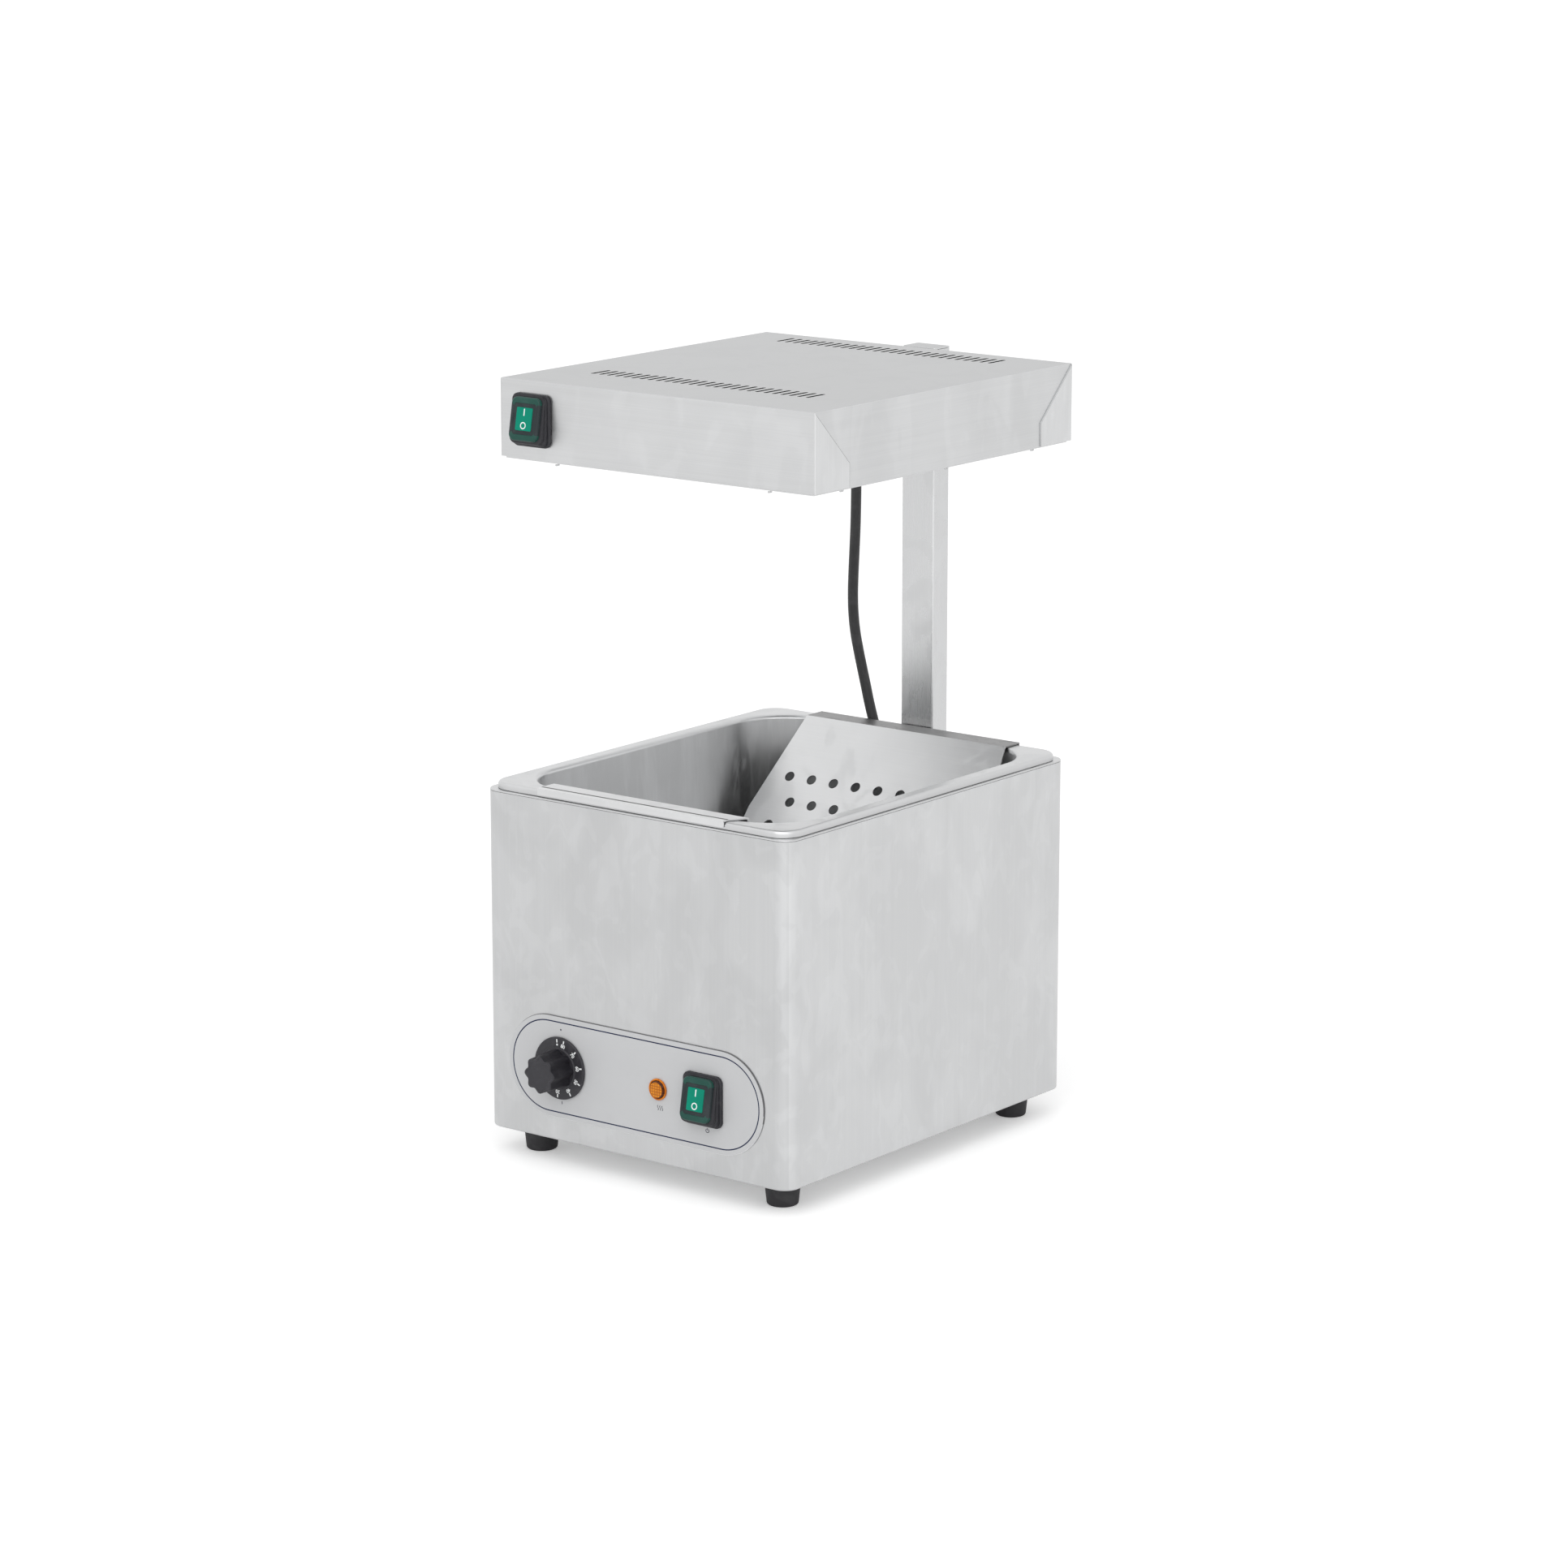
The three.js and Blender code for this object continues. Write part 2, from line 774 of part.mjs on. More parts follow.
// Draining plate: one strip bent into a rear hook, a chute, a raised floor, a front wall and a front hook
const hookTop = panRimHeight + seatGap + sheet;
const hookReach = panRimDepth / 2 + seatGap + sheet;
const hookLow = hookTop - sheet - plateLip;
const chuteTopY = hookReach - plateHookDepth;
const floorTop = panFloor + plateFloorLift;
const chuteSlope = radians(plateChuteAngle);
const chuteLength = (hookTop - floorTop) / Math.sin(chuteSlope);
const chuteFootY = chuteTopY - chuteLength * Math.cos(chuteSlope);
const frontWallFootY = -chuteTopY + panDraft + plateFrontTaper;
const plateLine = [
  [hookReach, hookLow],
  [hookReach, hookTop],
  [chuteTopY, hookTop],
  [chuteFootY, floorTop],
  [frontWallFootY, floorTop],
  [-chuteTopY, hookTop],
  [-hookReach, hookTop],
  [-hookReach, hookLow],
];
const plateHalfPlan = [
  [plateHookHalfWidth, hookReach + overrun],
  [plateHookHalfWidth, chuteTopY],
  [plateHalfWidth, chuteTopY - plateTaperLength],
  [plateHalfWidth, frontWallFootY + plateFrontMargin],
  [plateHookHalfWidth, frontWallFootY],
  [plateHookHalfWidth, -hookReach - overrun],
];
const platePlan = new THREE.Shape(
  [...plateHalfPlan, ...plateHalfPlan.map(([x, y]) => [-x, y]).reverse()].map(
    ([x, y]) => new THREE.Vector2(x, y),
  ),
);

// One draining hole, square to a face that is tilted about the x axis
function drainHole(x, y, z, tilt) {
  const options = { depth: 2 * overrun, bevelEnabled: false };
  const shape = disc(plateHoleRadius, holeSides);
  const geometry = new THREE.ExtrudeGeometry(shape, options).translate(0, 0, -overrun);
  return solid(geometry.rotateX(tilt).translate(x, y, z));
}

// One row of holes; every other row has a hole less, so that the rows stagger
function drainRow(row, y, z, tilt) {
  const holes = plateHoleColumns - (row % 2);
  return Array.from({ length: holes }, (_, i) =>
    drainHole((i - (holes - 1) / 2) * plateHolePitchX, y, z, tilt),
  );
}
const chuteRows = Math.floor((chuteLength - plateRowMargin - plateFirstRow) / plateHolePitchY) + 1;
const floorLength = chuteFootY - frontWallFootY;
const floorRows = Math.floor((floorLength - 2 * plateRowMargin) / plateHolePitchY) + 1;
const floorStart = chuteFootY - (floorLength - (floorRows - 1) * plateHolePitchY) / 2;
const drainHoles = [
  ...Array.from({ length: chuteRows }, (_, row) => {
    const down = plateFirstRow + row * plateHolePitchY;
    const y = chuteTopY - down * Math.cos(chuteSlope);
    return drainRow(row, y, hookTop - down * Math.sin(chuteSlope), chuteSlope);
  }),
  ...Array.from({ length: floorRows }, (_, row) =>
    drainRow(row + chuteRows, floorStart - row * plateHolePitchY, floorTop, 0),
  ),
].flat();
place(
  deckLevel,
  "drain_insert",
  without(
    across(bentSheet(plateLine, sheet), -plateHalfWidth, plateHalfWidth).intersect(
      upright(platePlan, panFloor - overrun, hookTop + overrun),
    ),
    drainHoles,
  ),
  brushedSteel,
  [plateShiftX, 0, 0],
);

// Rocker switch: a housing in the wall, a sealing frame over its flange and the rocker itself. The group's
// origin is the middle of the switch on the face that the frame lies on; its y axis runs into the wall.
function addSwitch(parent, name, x, y, z) {
  const group = new THREE.Group();
  group.position.set(x, y, z);
  parent.add(group);
  const flangeFront = -seatGap - switchFlangeThick;
  const pocketWidth = switchBodyWidth - 2 * switchWall;
  const pocketHeight = switchBodyHeight - 2 * switchWall;
  const blades = [-1, 0, 1].map((step) =>
    block(
      -bladeWidth / 2,
      bladeWidth / 2,
      switchBodyDeep - switchWall,
      switchBodyDeep + bladeLength,
      step * bladePitch - bladeThick / 2,
      step * bladePitch + bladeThick / 2,
    ),
  );
  const pinBore = rockerPinRadius + seatGap;
  const pinHalf = pocketWidth / 2 + switchWall / 2;
  const pinHole = across(
    disc(pinBore, smallSides, rockerPivotInside, 0),
    -pinHalf - seatGap / 2,
    pinHalf + seatGap / 2,
  );
  place(
    group,
    `${name}_switch_housing`,
    without(
      joined([
        facing(rounded(switchFlangeWidth, switchFlangeHeight, switchWall), flangeFront, -seatGap, 2),
        facing(rounded(switchBodyWidth, switchBodyHeight, switchWall / 2), flangeFront, switchBodyDeep, 1),
        ...blades,
      ]),
      [facing(rounded(pocketWidth, pocketHeight, sheet), -overrun, switchPocketDeep, 1), pinHole],
    ),
    blackPlastic,
  );
  place(
    group,
    `${name}_switch_frame`,
    without(
      facing(
        rounded(switchFrameWidth, switchFrameHeight, switchFrameCorner),
        -seatGap - switchFrameThick,
        -seatGap,
      ),
      [
        facing(
          rounded(switchFlangeWidth + 2 * seatGap, switchFlangeHeight + 2 * seatGap, switchWall + seatGap),
          flangeFront - seatGap,
          overrun,
          2,
        ),
        facing(rounded(switchMouthWidth, switchMouthHeight, switchWall), -overrun - switchFrameThick, 0, 2),
      ],
    ),
    blackRubber,
  );
  const rocker = place(
    group,
    `${name}_switch_rocker`,
    joined([
      facing(rounded(rockerWidth, rockerHeight, rockerCorner), -rockerBack - rockerThick, -rockerBack),
      facing(
        rounded(rockerNeckWidth, rockerNeckHeight, sheet),
        -rockerBack - rockerThick / 2,
        rockerNeckDeep,
        1,
      ),
      across(disc(rockerPinRadius, smallSides), -pinHalf, pinHalf),
    ]),
    greenPlastic,
    [0, rockerPivotInside, 0],
  );
  rocker.rotation.x = -radians(rockerThrow / 2);
}

// Control side: the group's origin is on the casing's front face, at the height of the controls.
const controls = new THREE.Group();
controls.position.set(0, casingFront, footHeight + controlHeight);
station.add(controls);
const plateFront = -seatGap - controlPlateThick;
place(
  controls,
  "control_plate",
  without(
    facing(
      rounded(controlPlateLength, controlPlateHeight, controlPlateHeight / 2, controlPlateX, 0),
      plateFront,
      -seatGap,
      roundSides / 2,
    ),
    [
      facing(disc(shaftRadius + runningGap, smallSides, knobX, 0), -overrun, overrun),
      facing(disc(indicatorBarrelRadius + seatGap, smallSides, indicatorX, 0), -overrun, overrun),
      facing(rounded(switchCutWidth, switchCutHeight, sheet, baseSwitchX, 0), -overrun, overrun, 1),
    ],
  ),
  plateFilm,
);
addSwitch(controls, "base", baseSwitchX, plateFront, 0);

// Thermostat knob, one moulding of a dial and a fluted grip, on the flat end of the thermostat's shaft
const dialRear = plateFront - runningGap;
const dialFront = dialRear - dialThick;
const fluteRing = (radius, depth) =>
  Array.from({ length: knobFlutes * fluteSteps }, (_, i) => {
    const angle = (FULL * i) / (knobFlutes * fluteSteps);
    const reach = radius - (knobFluteDepth * (1 - Math.cos(angle * knobFlutes))) / 2;
    return new THREE.Vector3(reach * Math.cos(angle), depth, reach * Math.sin(angle));
  });
place(
  controls,
  "thermostat_knob",
  joined([
    turnedBack([
      [0, dialFront],
      [dialRadius - dialBevel, dialFront],
      [dialRadius, dialFront + dialBevel],
      [dialRadius, dialRear],
      [0, dialRear],
    ]),
    loft([
      fluteRing(knobRadius, dialFront + dialBevel),
      fluteRing(knobFrontRadius, -knobReach + knobEdge),
      fluteRing(knobFrontRadius - knobEdge, -knobReach),
    ]),
  ]).subtract(
    facing(disc(shaftRadius + seatGap, smallSides), dialRear - knobBoreDepth, dialRear + overrun),
  ),
  blackPlastic,
  [knobX, 0, 0],
);
const shaftFront = dialRear - knobBoreDepth + seatGap;
place(
  controls,
  "thermostat_shaft",
  facing(disc(shaftRadius, smallSides), shaftFront, shaftInside),
  zincSteel,
  [knobX, 0, 0],
);
const thermostatFront = sheet + seatGap;
const thermostatRear = thermostatFront + thermostatDeep;
place(
  controls,
  "thermostat_body",
  facing(
    rounded(thermostatWidth, thermostatWidth, switchWall),
    thermostatFront,
    thermostatRear,
    1,
  ).subtract(facing(disc(shaftRadius + seatGap, smallSides), -overrun, shaftInside + seatGap)),
  ceramic,
  [knobX, 0, 0],
);

// Capillary from the thermostat to a bulb that lies against the underside of the well
const wellUnder = casingHeight + wellFloor - wellSheet - controlHeight;
const bulbHeight = wellUnder - seatGap - bulbRadius;
const bulbFrontY = thermostatRear + bulbLength / 2;
const capillaryPath = new THREE.CatmullRomCurve3(
  [
    [0, thermostatRear + seatGap, 0],
    [0, thermostatRear + bulbRadius * 2, 0],
    [0, thermostatRear + bulbLength / 4, bulbHeight / 2],
    [0, bulbFrontY - bulbRadius * 2, bulbHeight],
    [0, bulbFrontY + bulbRadius, bulbHeight],
  ].map((point) => new THREE.Vector3(...point)),
);
place(
  controls,
  "thermostat_bulb",
  joined([
    bar(capillaryPath, capillaryRadius, holeSides, smallSides),
    facing(disc(bulbRadius, smallSides, 0, bulbHeight), bulbFrontY, bulbFrontY + bulbLength),
  ]),
  copper,
  [knobX, 0, 0],
);

// Indicator lamp: a ring and barrel through the wall, and a lens on the ring
const ringRear = plateFront - seatGap;
const ringFront = ringRear - indicatorRingThick;
place(
  controls,
  "indicator_body",
  turnedBack([
    [0, ringFront],
    [indicatorRingRadius - indicatorRingThick / 2, ringFront],
    [indicatorRingRadius, ringFront + indicatorRingThick / 2],
    [indicatorRingRadius, ringRear],
    [indicatorBarrelRadius, ringRear],
    [indicatorBarrelRadius, indicatorBarrelDeep],
    [0, indicatorBarrelDeep],
  ]),
  blackPlastic,
  [indicatorX, 0, 0],
);
const lensRear = ringFront - seatGap;
place(
  controls,
  "indicator_lens",
  turnedBack([
    [0, lensRear - indicatorLensThick],
    [indicatorLensRadius - indicatorLensThick, lensRear - indicatorLensThick],
    [indicatorLensRadius, lensRear - indicatorLensThick / 2],
    [indicatorLensRadius, lensRear],
    [0, lensRear],
  ]),
  amberPlastic,
  [indicatorX, 0, 0],
);

// Terminal block on the base plate
const terminalSeat = 2 * sheet + 2 * seatGap;
place(
  casing,
  "terminal_block",
  without(
    block(
      terminalX - terminalLength / 2,
      terminalX + terminalLength / 2,
      terminalY - terminalWidth / 2,
      terminalY + terminalWidth / 2,
      terminalSeat,
      terminalSeat + terminalHeight,
    ),
    Array.from({ length: terminalWays }, (_, i) =>
      facing(
        disc(
          terminalBore,
          smallSides,
          terminalX + (i - (terminalWays - 1) / 2) * (terminalLength / terminalWays),
          terminalSeat + terminalHeight / 2,
        ),
        terminalY - terminalWidth,
        terminalY + terminalWidth,
      ),
    ),
  ),
  ceramic,
);

// Gland for the mains cable, open right through, with a hexagonal nut on each side of the back wall
place(
  casing,
  "mains_gland",
  joined([
    facing(disc(glandRadius, holeSides), casingRear + seatGap, casingRear + glandOutside / 2),
    facing(disc(glandRadius - sheet, smallSides), casingRear - glandInside, casingRear + glandOutside),
    facing(disc(glandRadius, holeSides), casingRear - glandInside, casingRear - sheet - seatGap),
  ]).subtract(
    facing(
      disc(glandBoreRadius, smallSides),
      casingRear - glandInside - overrun,
      casingRear + glandOutside + overrun,
    ),
  ),
  blackPlastic,
  [glandX, 0, glandHeight],
);

// Post behind the casing, with a cap, a backing plate inside the back wall and two bolts
const postMiddleY = postFront + postDepth / 2;
const postInnerWidth = postWidth - 2 * postWall;
const postInnerDepth = postDepth - 2 * postWall;
const postRear = postFront + postDepth;
const postCorner = postWall;
const boltHeights = [postBoltLow, postBoltHigh];
const boltHoleRadius = postBoltRadius + seatGap;
place(
  station,
  "post_tube",
  without(
    upright(rounded(postWidth, postDepth, postCorner, 0, postMiddleY), postBottom, postTop, 2),
    [
      upright(
        rounded(postInnerWidth, postInnerDepth, postCorner / 2, 0, postMiddleY),
        postBottom - overrun,
        postTop + overrun,
        1,
      ),
      ...boltHeights.map((height) =>
        facing(disc(boltHoleRadius, smallSides, 0, height), casingRear - overrun, postRear + overrun),
      ),
    ],
  ),
  brushedSteel,
);
place(
  station,
  "post_cap",
  joined([
    upright(
      rounded(postWidth, postDepth, postCorner, 0, postMiddleY),
      postTop + seatGap,
      postTop + seatGap + postCapThick,
      2,
    ),
    upright(
      rounded(
        postInnerWidth - 2 * seatGap,
        postInnerDepth - 2 * seatGap,
        postCorner / 2,
        0,
        postMiddleY,
      ),
      postTop - postCapPlug,
      postTop + seatGap + postCapThick / 2,
      1,
    ),
  ]),
  brushedSteel,
);
const backingRear = casingRear - sheet - seatGap;
const backingFront = backingRear - backingThick;
const backingLow = (postBoltLow + postBoltHigh - backingHeight) / 2;
place(
  station,
  "post_backing_plate",
  without(
    block(
      -backingWidth / 2,
      backingWidth / 2,
      backingFront,
      backingRear,
      backingLow,
      backingLow + backingHeight,
    ),
    boltHeights.map((height) =>
      facing(disc(boltHoleRadius, smallSides, 0, height), backingFront - overrun, backingRear + overrun),
    ),
  ),
  zincSteel,
);
const boltBody = joined([
  facing(disc(postBoltRadius, smallSides), backingFront - postBoltEnd, postRear + postBoltHeadHeight / 2),
  facing(disc(postBoltHeadRadius, holeSides), postRear + seatGap, postRear + seatGap + postBoltHeadHeight),
]);
["lower", "upper"].forEach((name, i) => {
  place(station, `post_bolt_${name}`, boltBody, zincSteel, [0, 0, boltHeights[i]]);
});

// Lamp head: the group's origin is the middle of the hood's lower edge.
const head = new THREE.Group();
head.position.set(0, headCentreY, headBottom);
station.add(head);
const headHalfDepth = headDepth / 2;
const hoodHalfWidth = headWidth / 2 - sheet;
const trayTop = -seatGap;
const trayLow = trayTop - sheet;
const headScrewPlaces = [
  ["front_left", -headScrewFrontX, -headHalfDepth + headScrewInset],
  ["front_right", headScrewFrontX, -headHalfDepth + headScrewInset],
  ["rear_left", -headScrewFrontX, headHalfDepth - headScrewInset],
  ["rear_right", headScrewFrontX, headHalfDepth - headScrewInset],
  ...[-1, 1].flatMap((side) =>
    headSideScrewShares.map((share, i) => [
      `${side < 0 ? "left" : "right"}_${i + 1}`,
      side * (hoodHalfWidth - headScrewInset),
      share * headDepth,
    ]),
  ),
];
const headScrewHoles = headScrewPlaces.map(([, x, y]) =>
  upright(disc(headScrewRadius + seatGap, holeSides, x, y), trayLow - overrun, sheet + overrun),
);
const tabOutline = (side) =>
  new THREE.Shape(
    [
      [side * headHalfDepth, 0],
      [side * (headHalfDepth - headTab), 0],
      [side * (headHalfDepth - headTab), headHeight - headTab],
      [side * headHalfDepth, headHeight],
    ].map(([y, z]) => new THREE.Vector2(y, z)),
  );
const tabs = [-1, 1].flatMap((side) => [
  across(tabOutline(side), -headWidth / 2, -hoodHalfWidth + sheet / 2),
  across(tabOutline(side), hoodHalfWidth - sheet / 2, headWidth / 2),
]);
const vents = [ventFrontInset - headHalfDepth, headHalfDepth - ventRearInset].flatMap((y) =>
  Array.from({ length: ventSlots }, (_, i) => {
    const x = ventX + (i - (ventSlots - 1) / 2) * ventPitch;
    return block(
      x - ventWidth / 2,
      x + ventWidth / 2,
      y - ventLength / 2,
      y + ventLength / 2,
      headHeight - sheet - overrun,
      headHeight + overrun,
    );
  }),
);
const bracketMiddle = bracketPlateLift + bracketPlateHeight / 2;
const studPlaces = [-1, 1].flatMap((sideX) =>
  [-1, 1].map((sideZ) => [
    sideX * bracketStudShare * bracketPlateWidth,
    bracketMiddle + (sideZ * bracketStudShare * bracketPlateHeight) / 2,
  ]),
);
const leadHoleRadius = elbowStemRadius + seatGap;
place(
  head,
  "head_hood",
  without(
    joined([
      block(-hoodHalfWidth, hoodHalfWidth, -headHalfDepth, headHalfDepth, 0, headHeight),
      ...tabs,
    ]),
    [
      block(
        -hoodHalfWidth + sheet,
        hoodHalfWidth - sheet,
        -headHalfDepth + sheet,
        headHalfDepth - sheet,
        sheet,
        headHeight - sheet,
      ),
      block(
        -hoodHalfWidth + headLip,
        hoodHalfWidth - headLip,
        -headHalfDepth + headLip,
        headHalfDepth - headLip,
        -overrun,
        2 * sheet,
      ),
      ...vents,
      ...headScrewHoles,
      facing(
        rounded(switchCutWidth, switchCutHeight, sheet, headSwitchX, headHeight / 2),
        -headHalfDepth - overrun,
        -headHalfDepth + sheet + overrun,
        1,
      ),
      facing(
        disc(leadHoleRadius, smallSides, leadHeadX, headElbowHeight),
        headHalfDepth - sheet - overrun,
        headHalfDepth + overrun,
      ),
      ...studPlaces.map(([x, z]) =>
        facing(
          disc(bracketStudRadius + seatGap, smallSides, x, z),
          headHalfDepth - sheet - overrun,
          headHalfDepth + overrun,
        ),
      ),
    ],
  ),
  brushedSteel,
);
addSwitch(head, "head", headSwitchX, -headHalfDepth, headHeight / 2);
place(
  head,
  "head_tray",
  without(
    block(
      -hoodHalfWidth + trayInset,
      hoodHalfWidth - trayInset,
      -headHalfDepth + trayInset,
      headHalfDepth - trayInset,
      trayLow,
      trayTop,
    ),
    [
      upright(rounded(trayMouthWidth, trayMouthDepth, casingLipCorner), trayLow - overrun, overrun, 1),
      ...headScrewHoles,
    ],
  ),
  brushedSteel,
);
const headScrewTop = trayLow - seatGap;
const headScrewBody = turned(
  [
    [0, headScrewTop - headScrewHeadHeight],
    [headScrewHeadRadius / 2, headScrewTop - headScrewHeadHeight],
    [headScrewHeadRadius, headScrewTop - headScrewHeadHeight / 2],
    [headScrewHeadRadius, headScrewTop],
    [headScrewRadius, headScrewTop],
    [headScrewRadius, headScrewEnd],
    [0, headScrewEnd],
  ],
  holeSides,
);
for (const [name, x, y] of headScrewPlaces) {
  place(head, `head_screw_${name}`, headScrewBody, zincSteel, [x, y, 0]);
}

// Plate between the hood's back and the post, with four studs welded to it
const bracketPlateRear = postFront - seatGap - headCentreY;
place(
  head,
  "head_bracket",
  joined([
    block(
      -bracketPlateWidth / 2,
      bracketPlateWidth / 2,
      headHalfDepth + seatGap,
      bracketPlateRear,
      bracketPlateLift,
      bracketPlateLift + bracketPlateHeight,
    ),
    ...studPlaces.map(([x, z]) =>
      facing(disc(bracketStudRadius, smallSides, x, z), headHalfDepth - bracketStudEnd, bracketPlateRear),
    ),
  ]),
  zincSteel,
);

// Reflector with a foot along each side, which stands on the tray
const reflectorFootTop = seatGap + reflectorSheet;
place(
  head,
  "reflector",
  across(
    bentSheet(
      [
        [reflectorFootHalf, 0],
        [reflectorFootHalf - reflectorFoot, 0],
        [reflectorTopHalf, reflectorHeight],
        [-reflectorTopHalf, reflectorHeight],
        [-reflectorFootHalf + reflectorFoot, 0],
        [-reflectorFootHalf, 0],
      ],
      reflectorSheet,
    ),
    -reflectorLength / 2,
    reflectorLength / 2,
  ),
  polishedSteel,
  [0, 0, reflectorFootTop],
);

// Two quartz lamps, each between two ceramic holders that stand on the tray
const holderX = lampLength / 2 - holderSocketDeep + holderLength / 2;
const lampBody = across(disc(lampRadius, smallSides), -lampLength / 2, lampLength / 2);
const holderBody = block(
  -holderLength / 2,
  holderLength / 2,
  -holderWidth / 2,
  holderWidth / 2,
  0,
  holderHeight,
);
for (const [row, sideY] of [["front", -1], ["rear", 1]]) {
  place(head, `lamp_tube_${row}`, lampBody, quartz, [0, sideY * lampPlaceY, lampLift]);
  for (const [side, sideX] of [["left", -1], ["right", 1]]) {
    const socket = across(
      disc(lampRadius + seatGap, smallSides, 0, lampLift),
      sideX > 0 ? -holderLength : holderLength / 2 - holderSocketDeep - seatGap,
      sideX > 0 ? -holderLength / 2 + holderSocketDeep + seatGap : holderLength,
    );
    place(head, `lamp_holder_${row}_${side}`, holderBody.subtract(socket), ceramic, [
      sideX * holderX,
      sideY * lampPlaceY,
      0,
    ]);
  }
}

// Wire guard under the tray's mouth
const guardHeight = trayLow - seatGap - guardWireRadius;
const guardSpan = guardWidth - 2 * guardWireRadius;
place(
  head,
  "lamp_guard",
  joined([
    ...[-1, 1].map((side) =>
      across(
        disc(guardWireRadius, holeSides, (side * guardDepth) / 2, guardHeight),
        -guardWidth / 2,
        guardWidth / 2,
      ),
    ),
    ...Array.from({ length: guardWires }, (_, i) =>
      facing(
        disc(guardWireRadius, holeSides, (i / (guardWires - 1)) * guardSpan - guardSpan / 2, guardHeight),
        -guardDepth / 2 - guardWireRadius,
        guardDepth / 2 + guardWireRadius,
      ),
    ),
  ]),
  zincSteel,
);

// Elbow strain relief on a back wall, with its sleeve up or down; its origin is on the wall's outer face.
function elbowRelief(way) {
  return joined([
    facing(disc(elbowFlangeRadius, roundSides / 2), seatGap, elbowFlangeThick),
    facing(rounded(elbowWidth, elbowHeight, sheet), elbowFlangeThick / 2, elbowDeep, 1),
    facing(disc(elbowStemRadius, smallSides), -sheet - seatGap - elbowNutThick, elbowFlangeThick),
    facing(disc(elbowNutRadius, holeSides), -sheet - seatGap - elbowNutThick, -sheet - seatGap),
    turned(
      [
        [0, 0],
        [elbowSleeveRootRadius, 0],
        [elbowSleeveRootRadius, elbowHeight / 2],
        [elbowSleeveEndRadius, elbowHeight / 2 + elbowSleeve],
        [0, elbowHeight / 2 + elbowSleeve],
      ].map(([radius, height]) => [radius, way * height]),
      smallSides,
    ).translate([0, elbowReach, 0]),
  ]);
}
place(station, "base_elbow", elbowRelief(1), blackPlastic, [
  leadBaseX,
  casingRear,
  footHeight + baseElbowHeight,
]);
place(head, "head_elbow", elbowRelief(-1), blackPlastic, [leadHeadX, headHalfDepth, headElbowHeight]);

// Lead from the head's elbow down to the base's elbow
const leadTopZ = headBottom + headElbowHeight - elbowHeight / 2 - elbowSleeve - seatGap;
const leadLowZ = footHeight + baseElbowHeight + elbowHeight / 2 + elbowSleeve + seatGap;
const leadTopY = headRear + elbowReach;
const leadLowY = casingRear + elbowReach;
const leadRoute = [
  [leadHeadX, leadTopY, leadTopZ],
  [-60.4, 170.6, 478],
  [-60.3, 170.9, 462],
  [-60.3, 171.2, 446],
  [-60.6, 171.4, 430],
  [-61.2, 171.6, 412],
  [-62.2, 171.8, 394],
  [-63.3, 172.1, 376],
  [-63.8, 172.3, 360],
  [-63.3, 172.5, 346],
  [-61.6, 172.8, 332],
  [-58.8, 173, 319],
  [-55.8, 173.3, 306.5],
  [-52.7, 173.6, 294],
  [-49.6, 173.8, 281.5],
  [-45.9, 173.9, 269],
  [-43.1, 174, 260.5],
  [-40.9, 174, 253.5],
  [-39.55, 174, 248],
  [-38.8, 174, 243.5],
  [-38.5, 174, 239],
  [leadBaseX, leadLowY, leadLowZ],
];
const leadPath = new THREE.CatmullRomCurve3(leadRoute.map((point) => new THREE.Vector3(...point)));
const leadSteps = Math.round(leadPath.getLength() / (leadStepDiameters * 2 * leadRadius));
place(
  station,
  "head_lead",
  bar(leadPath, leadRadius, leadSides, leadSteps),
  leadSheath,
);

export default station;
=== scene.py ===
"""French fry dump station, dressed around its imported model.

Lengths are in metres, in the part's own frame: x to the right along the control side, y to the back and z
up from the table. A size in millimetres is written as a number times MM. A control is built face on, with u
to the right, v up and w out of the wall, and is then turned to its wall.
"""
import logging
import math
from collections.abc import Callable, Iterable, Sequence
from dataclasses import dataclass, replace
from enum import Enum
from functools import cache
from typing import Any

import bmesh
import bpy
from mathutils import Matrix, Vector


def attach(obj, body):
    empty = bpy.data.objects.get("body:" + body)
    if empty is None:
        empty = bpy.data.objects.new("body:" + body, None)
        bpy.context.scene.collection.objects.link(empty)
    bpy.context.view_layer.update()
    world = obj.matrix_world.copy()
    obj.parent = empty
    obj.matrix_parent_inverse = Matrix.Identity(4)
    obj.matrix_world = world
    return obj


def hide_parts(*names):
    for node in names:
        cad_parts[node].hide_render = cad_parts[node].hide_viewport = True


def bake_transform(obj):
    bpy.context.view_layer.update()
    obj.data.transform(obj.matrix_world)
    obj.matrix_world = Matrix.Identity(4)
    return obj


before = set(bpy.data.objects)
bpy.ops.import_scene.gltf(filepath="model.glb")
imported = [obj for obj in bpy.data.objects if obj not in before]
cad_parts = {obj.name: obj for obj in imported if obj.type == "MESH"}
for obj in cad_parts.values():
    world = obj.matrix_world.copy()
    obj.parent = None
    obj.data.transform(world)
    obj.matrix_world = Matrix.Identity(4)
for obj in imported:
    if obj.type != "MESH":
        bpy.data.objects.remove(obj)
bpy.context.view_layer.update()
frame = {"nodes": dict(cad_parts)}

LOG = logging.getLogger("dump_station")
MM = 0.001
FULL_TURN = 2 * math.pi
QUARTER_TURN = math.pi / 2
WELD = 1e-6
ROUND_STEPS = 48
CORNER_STEPS = 10
FOLD_STEPS = 5
SHARP_ANGLE = math.radians(35)
SWITCH_HOLE_HALF = (11.3 * MM, 14.3 * MM)
OVERRUN = 3 * MM
INWARD_OVERRUN = 4 * MM

Triple = tuple[float, float, float]
Socket = bpy.types.NodeSocket


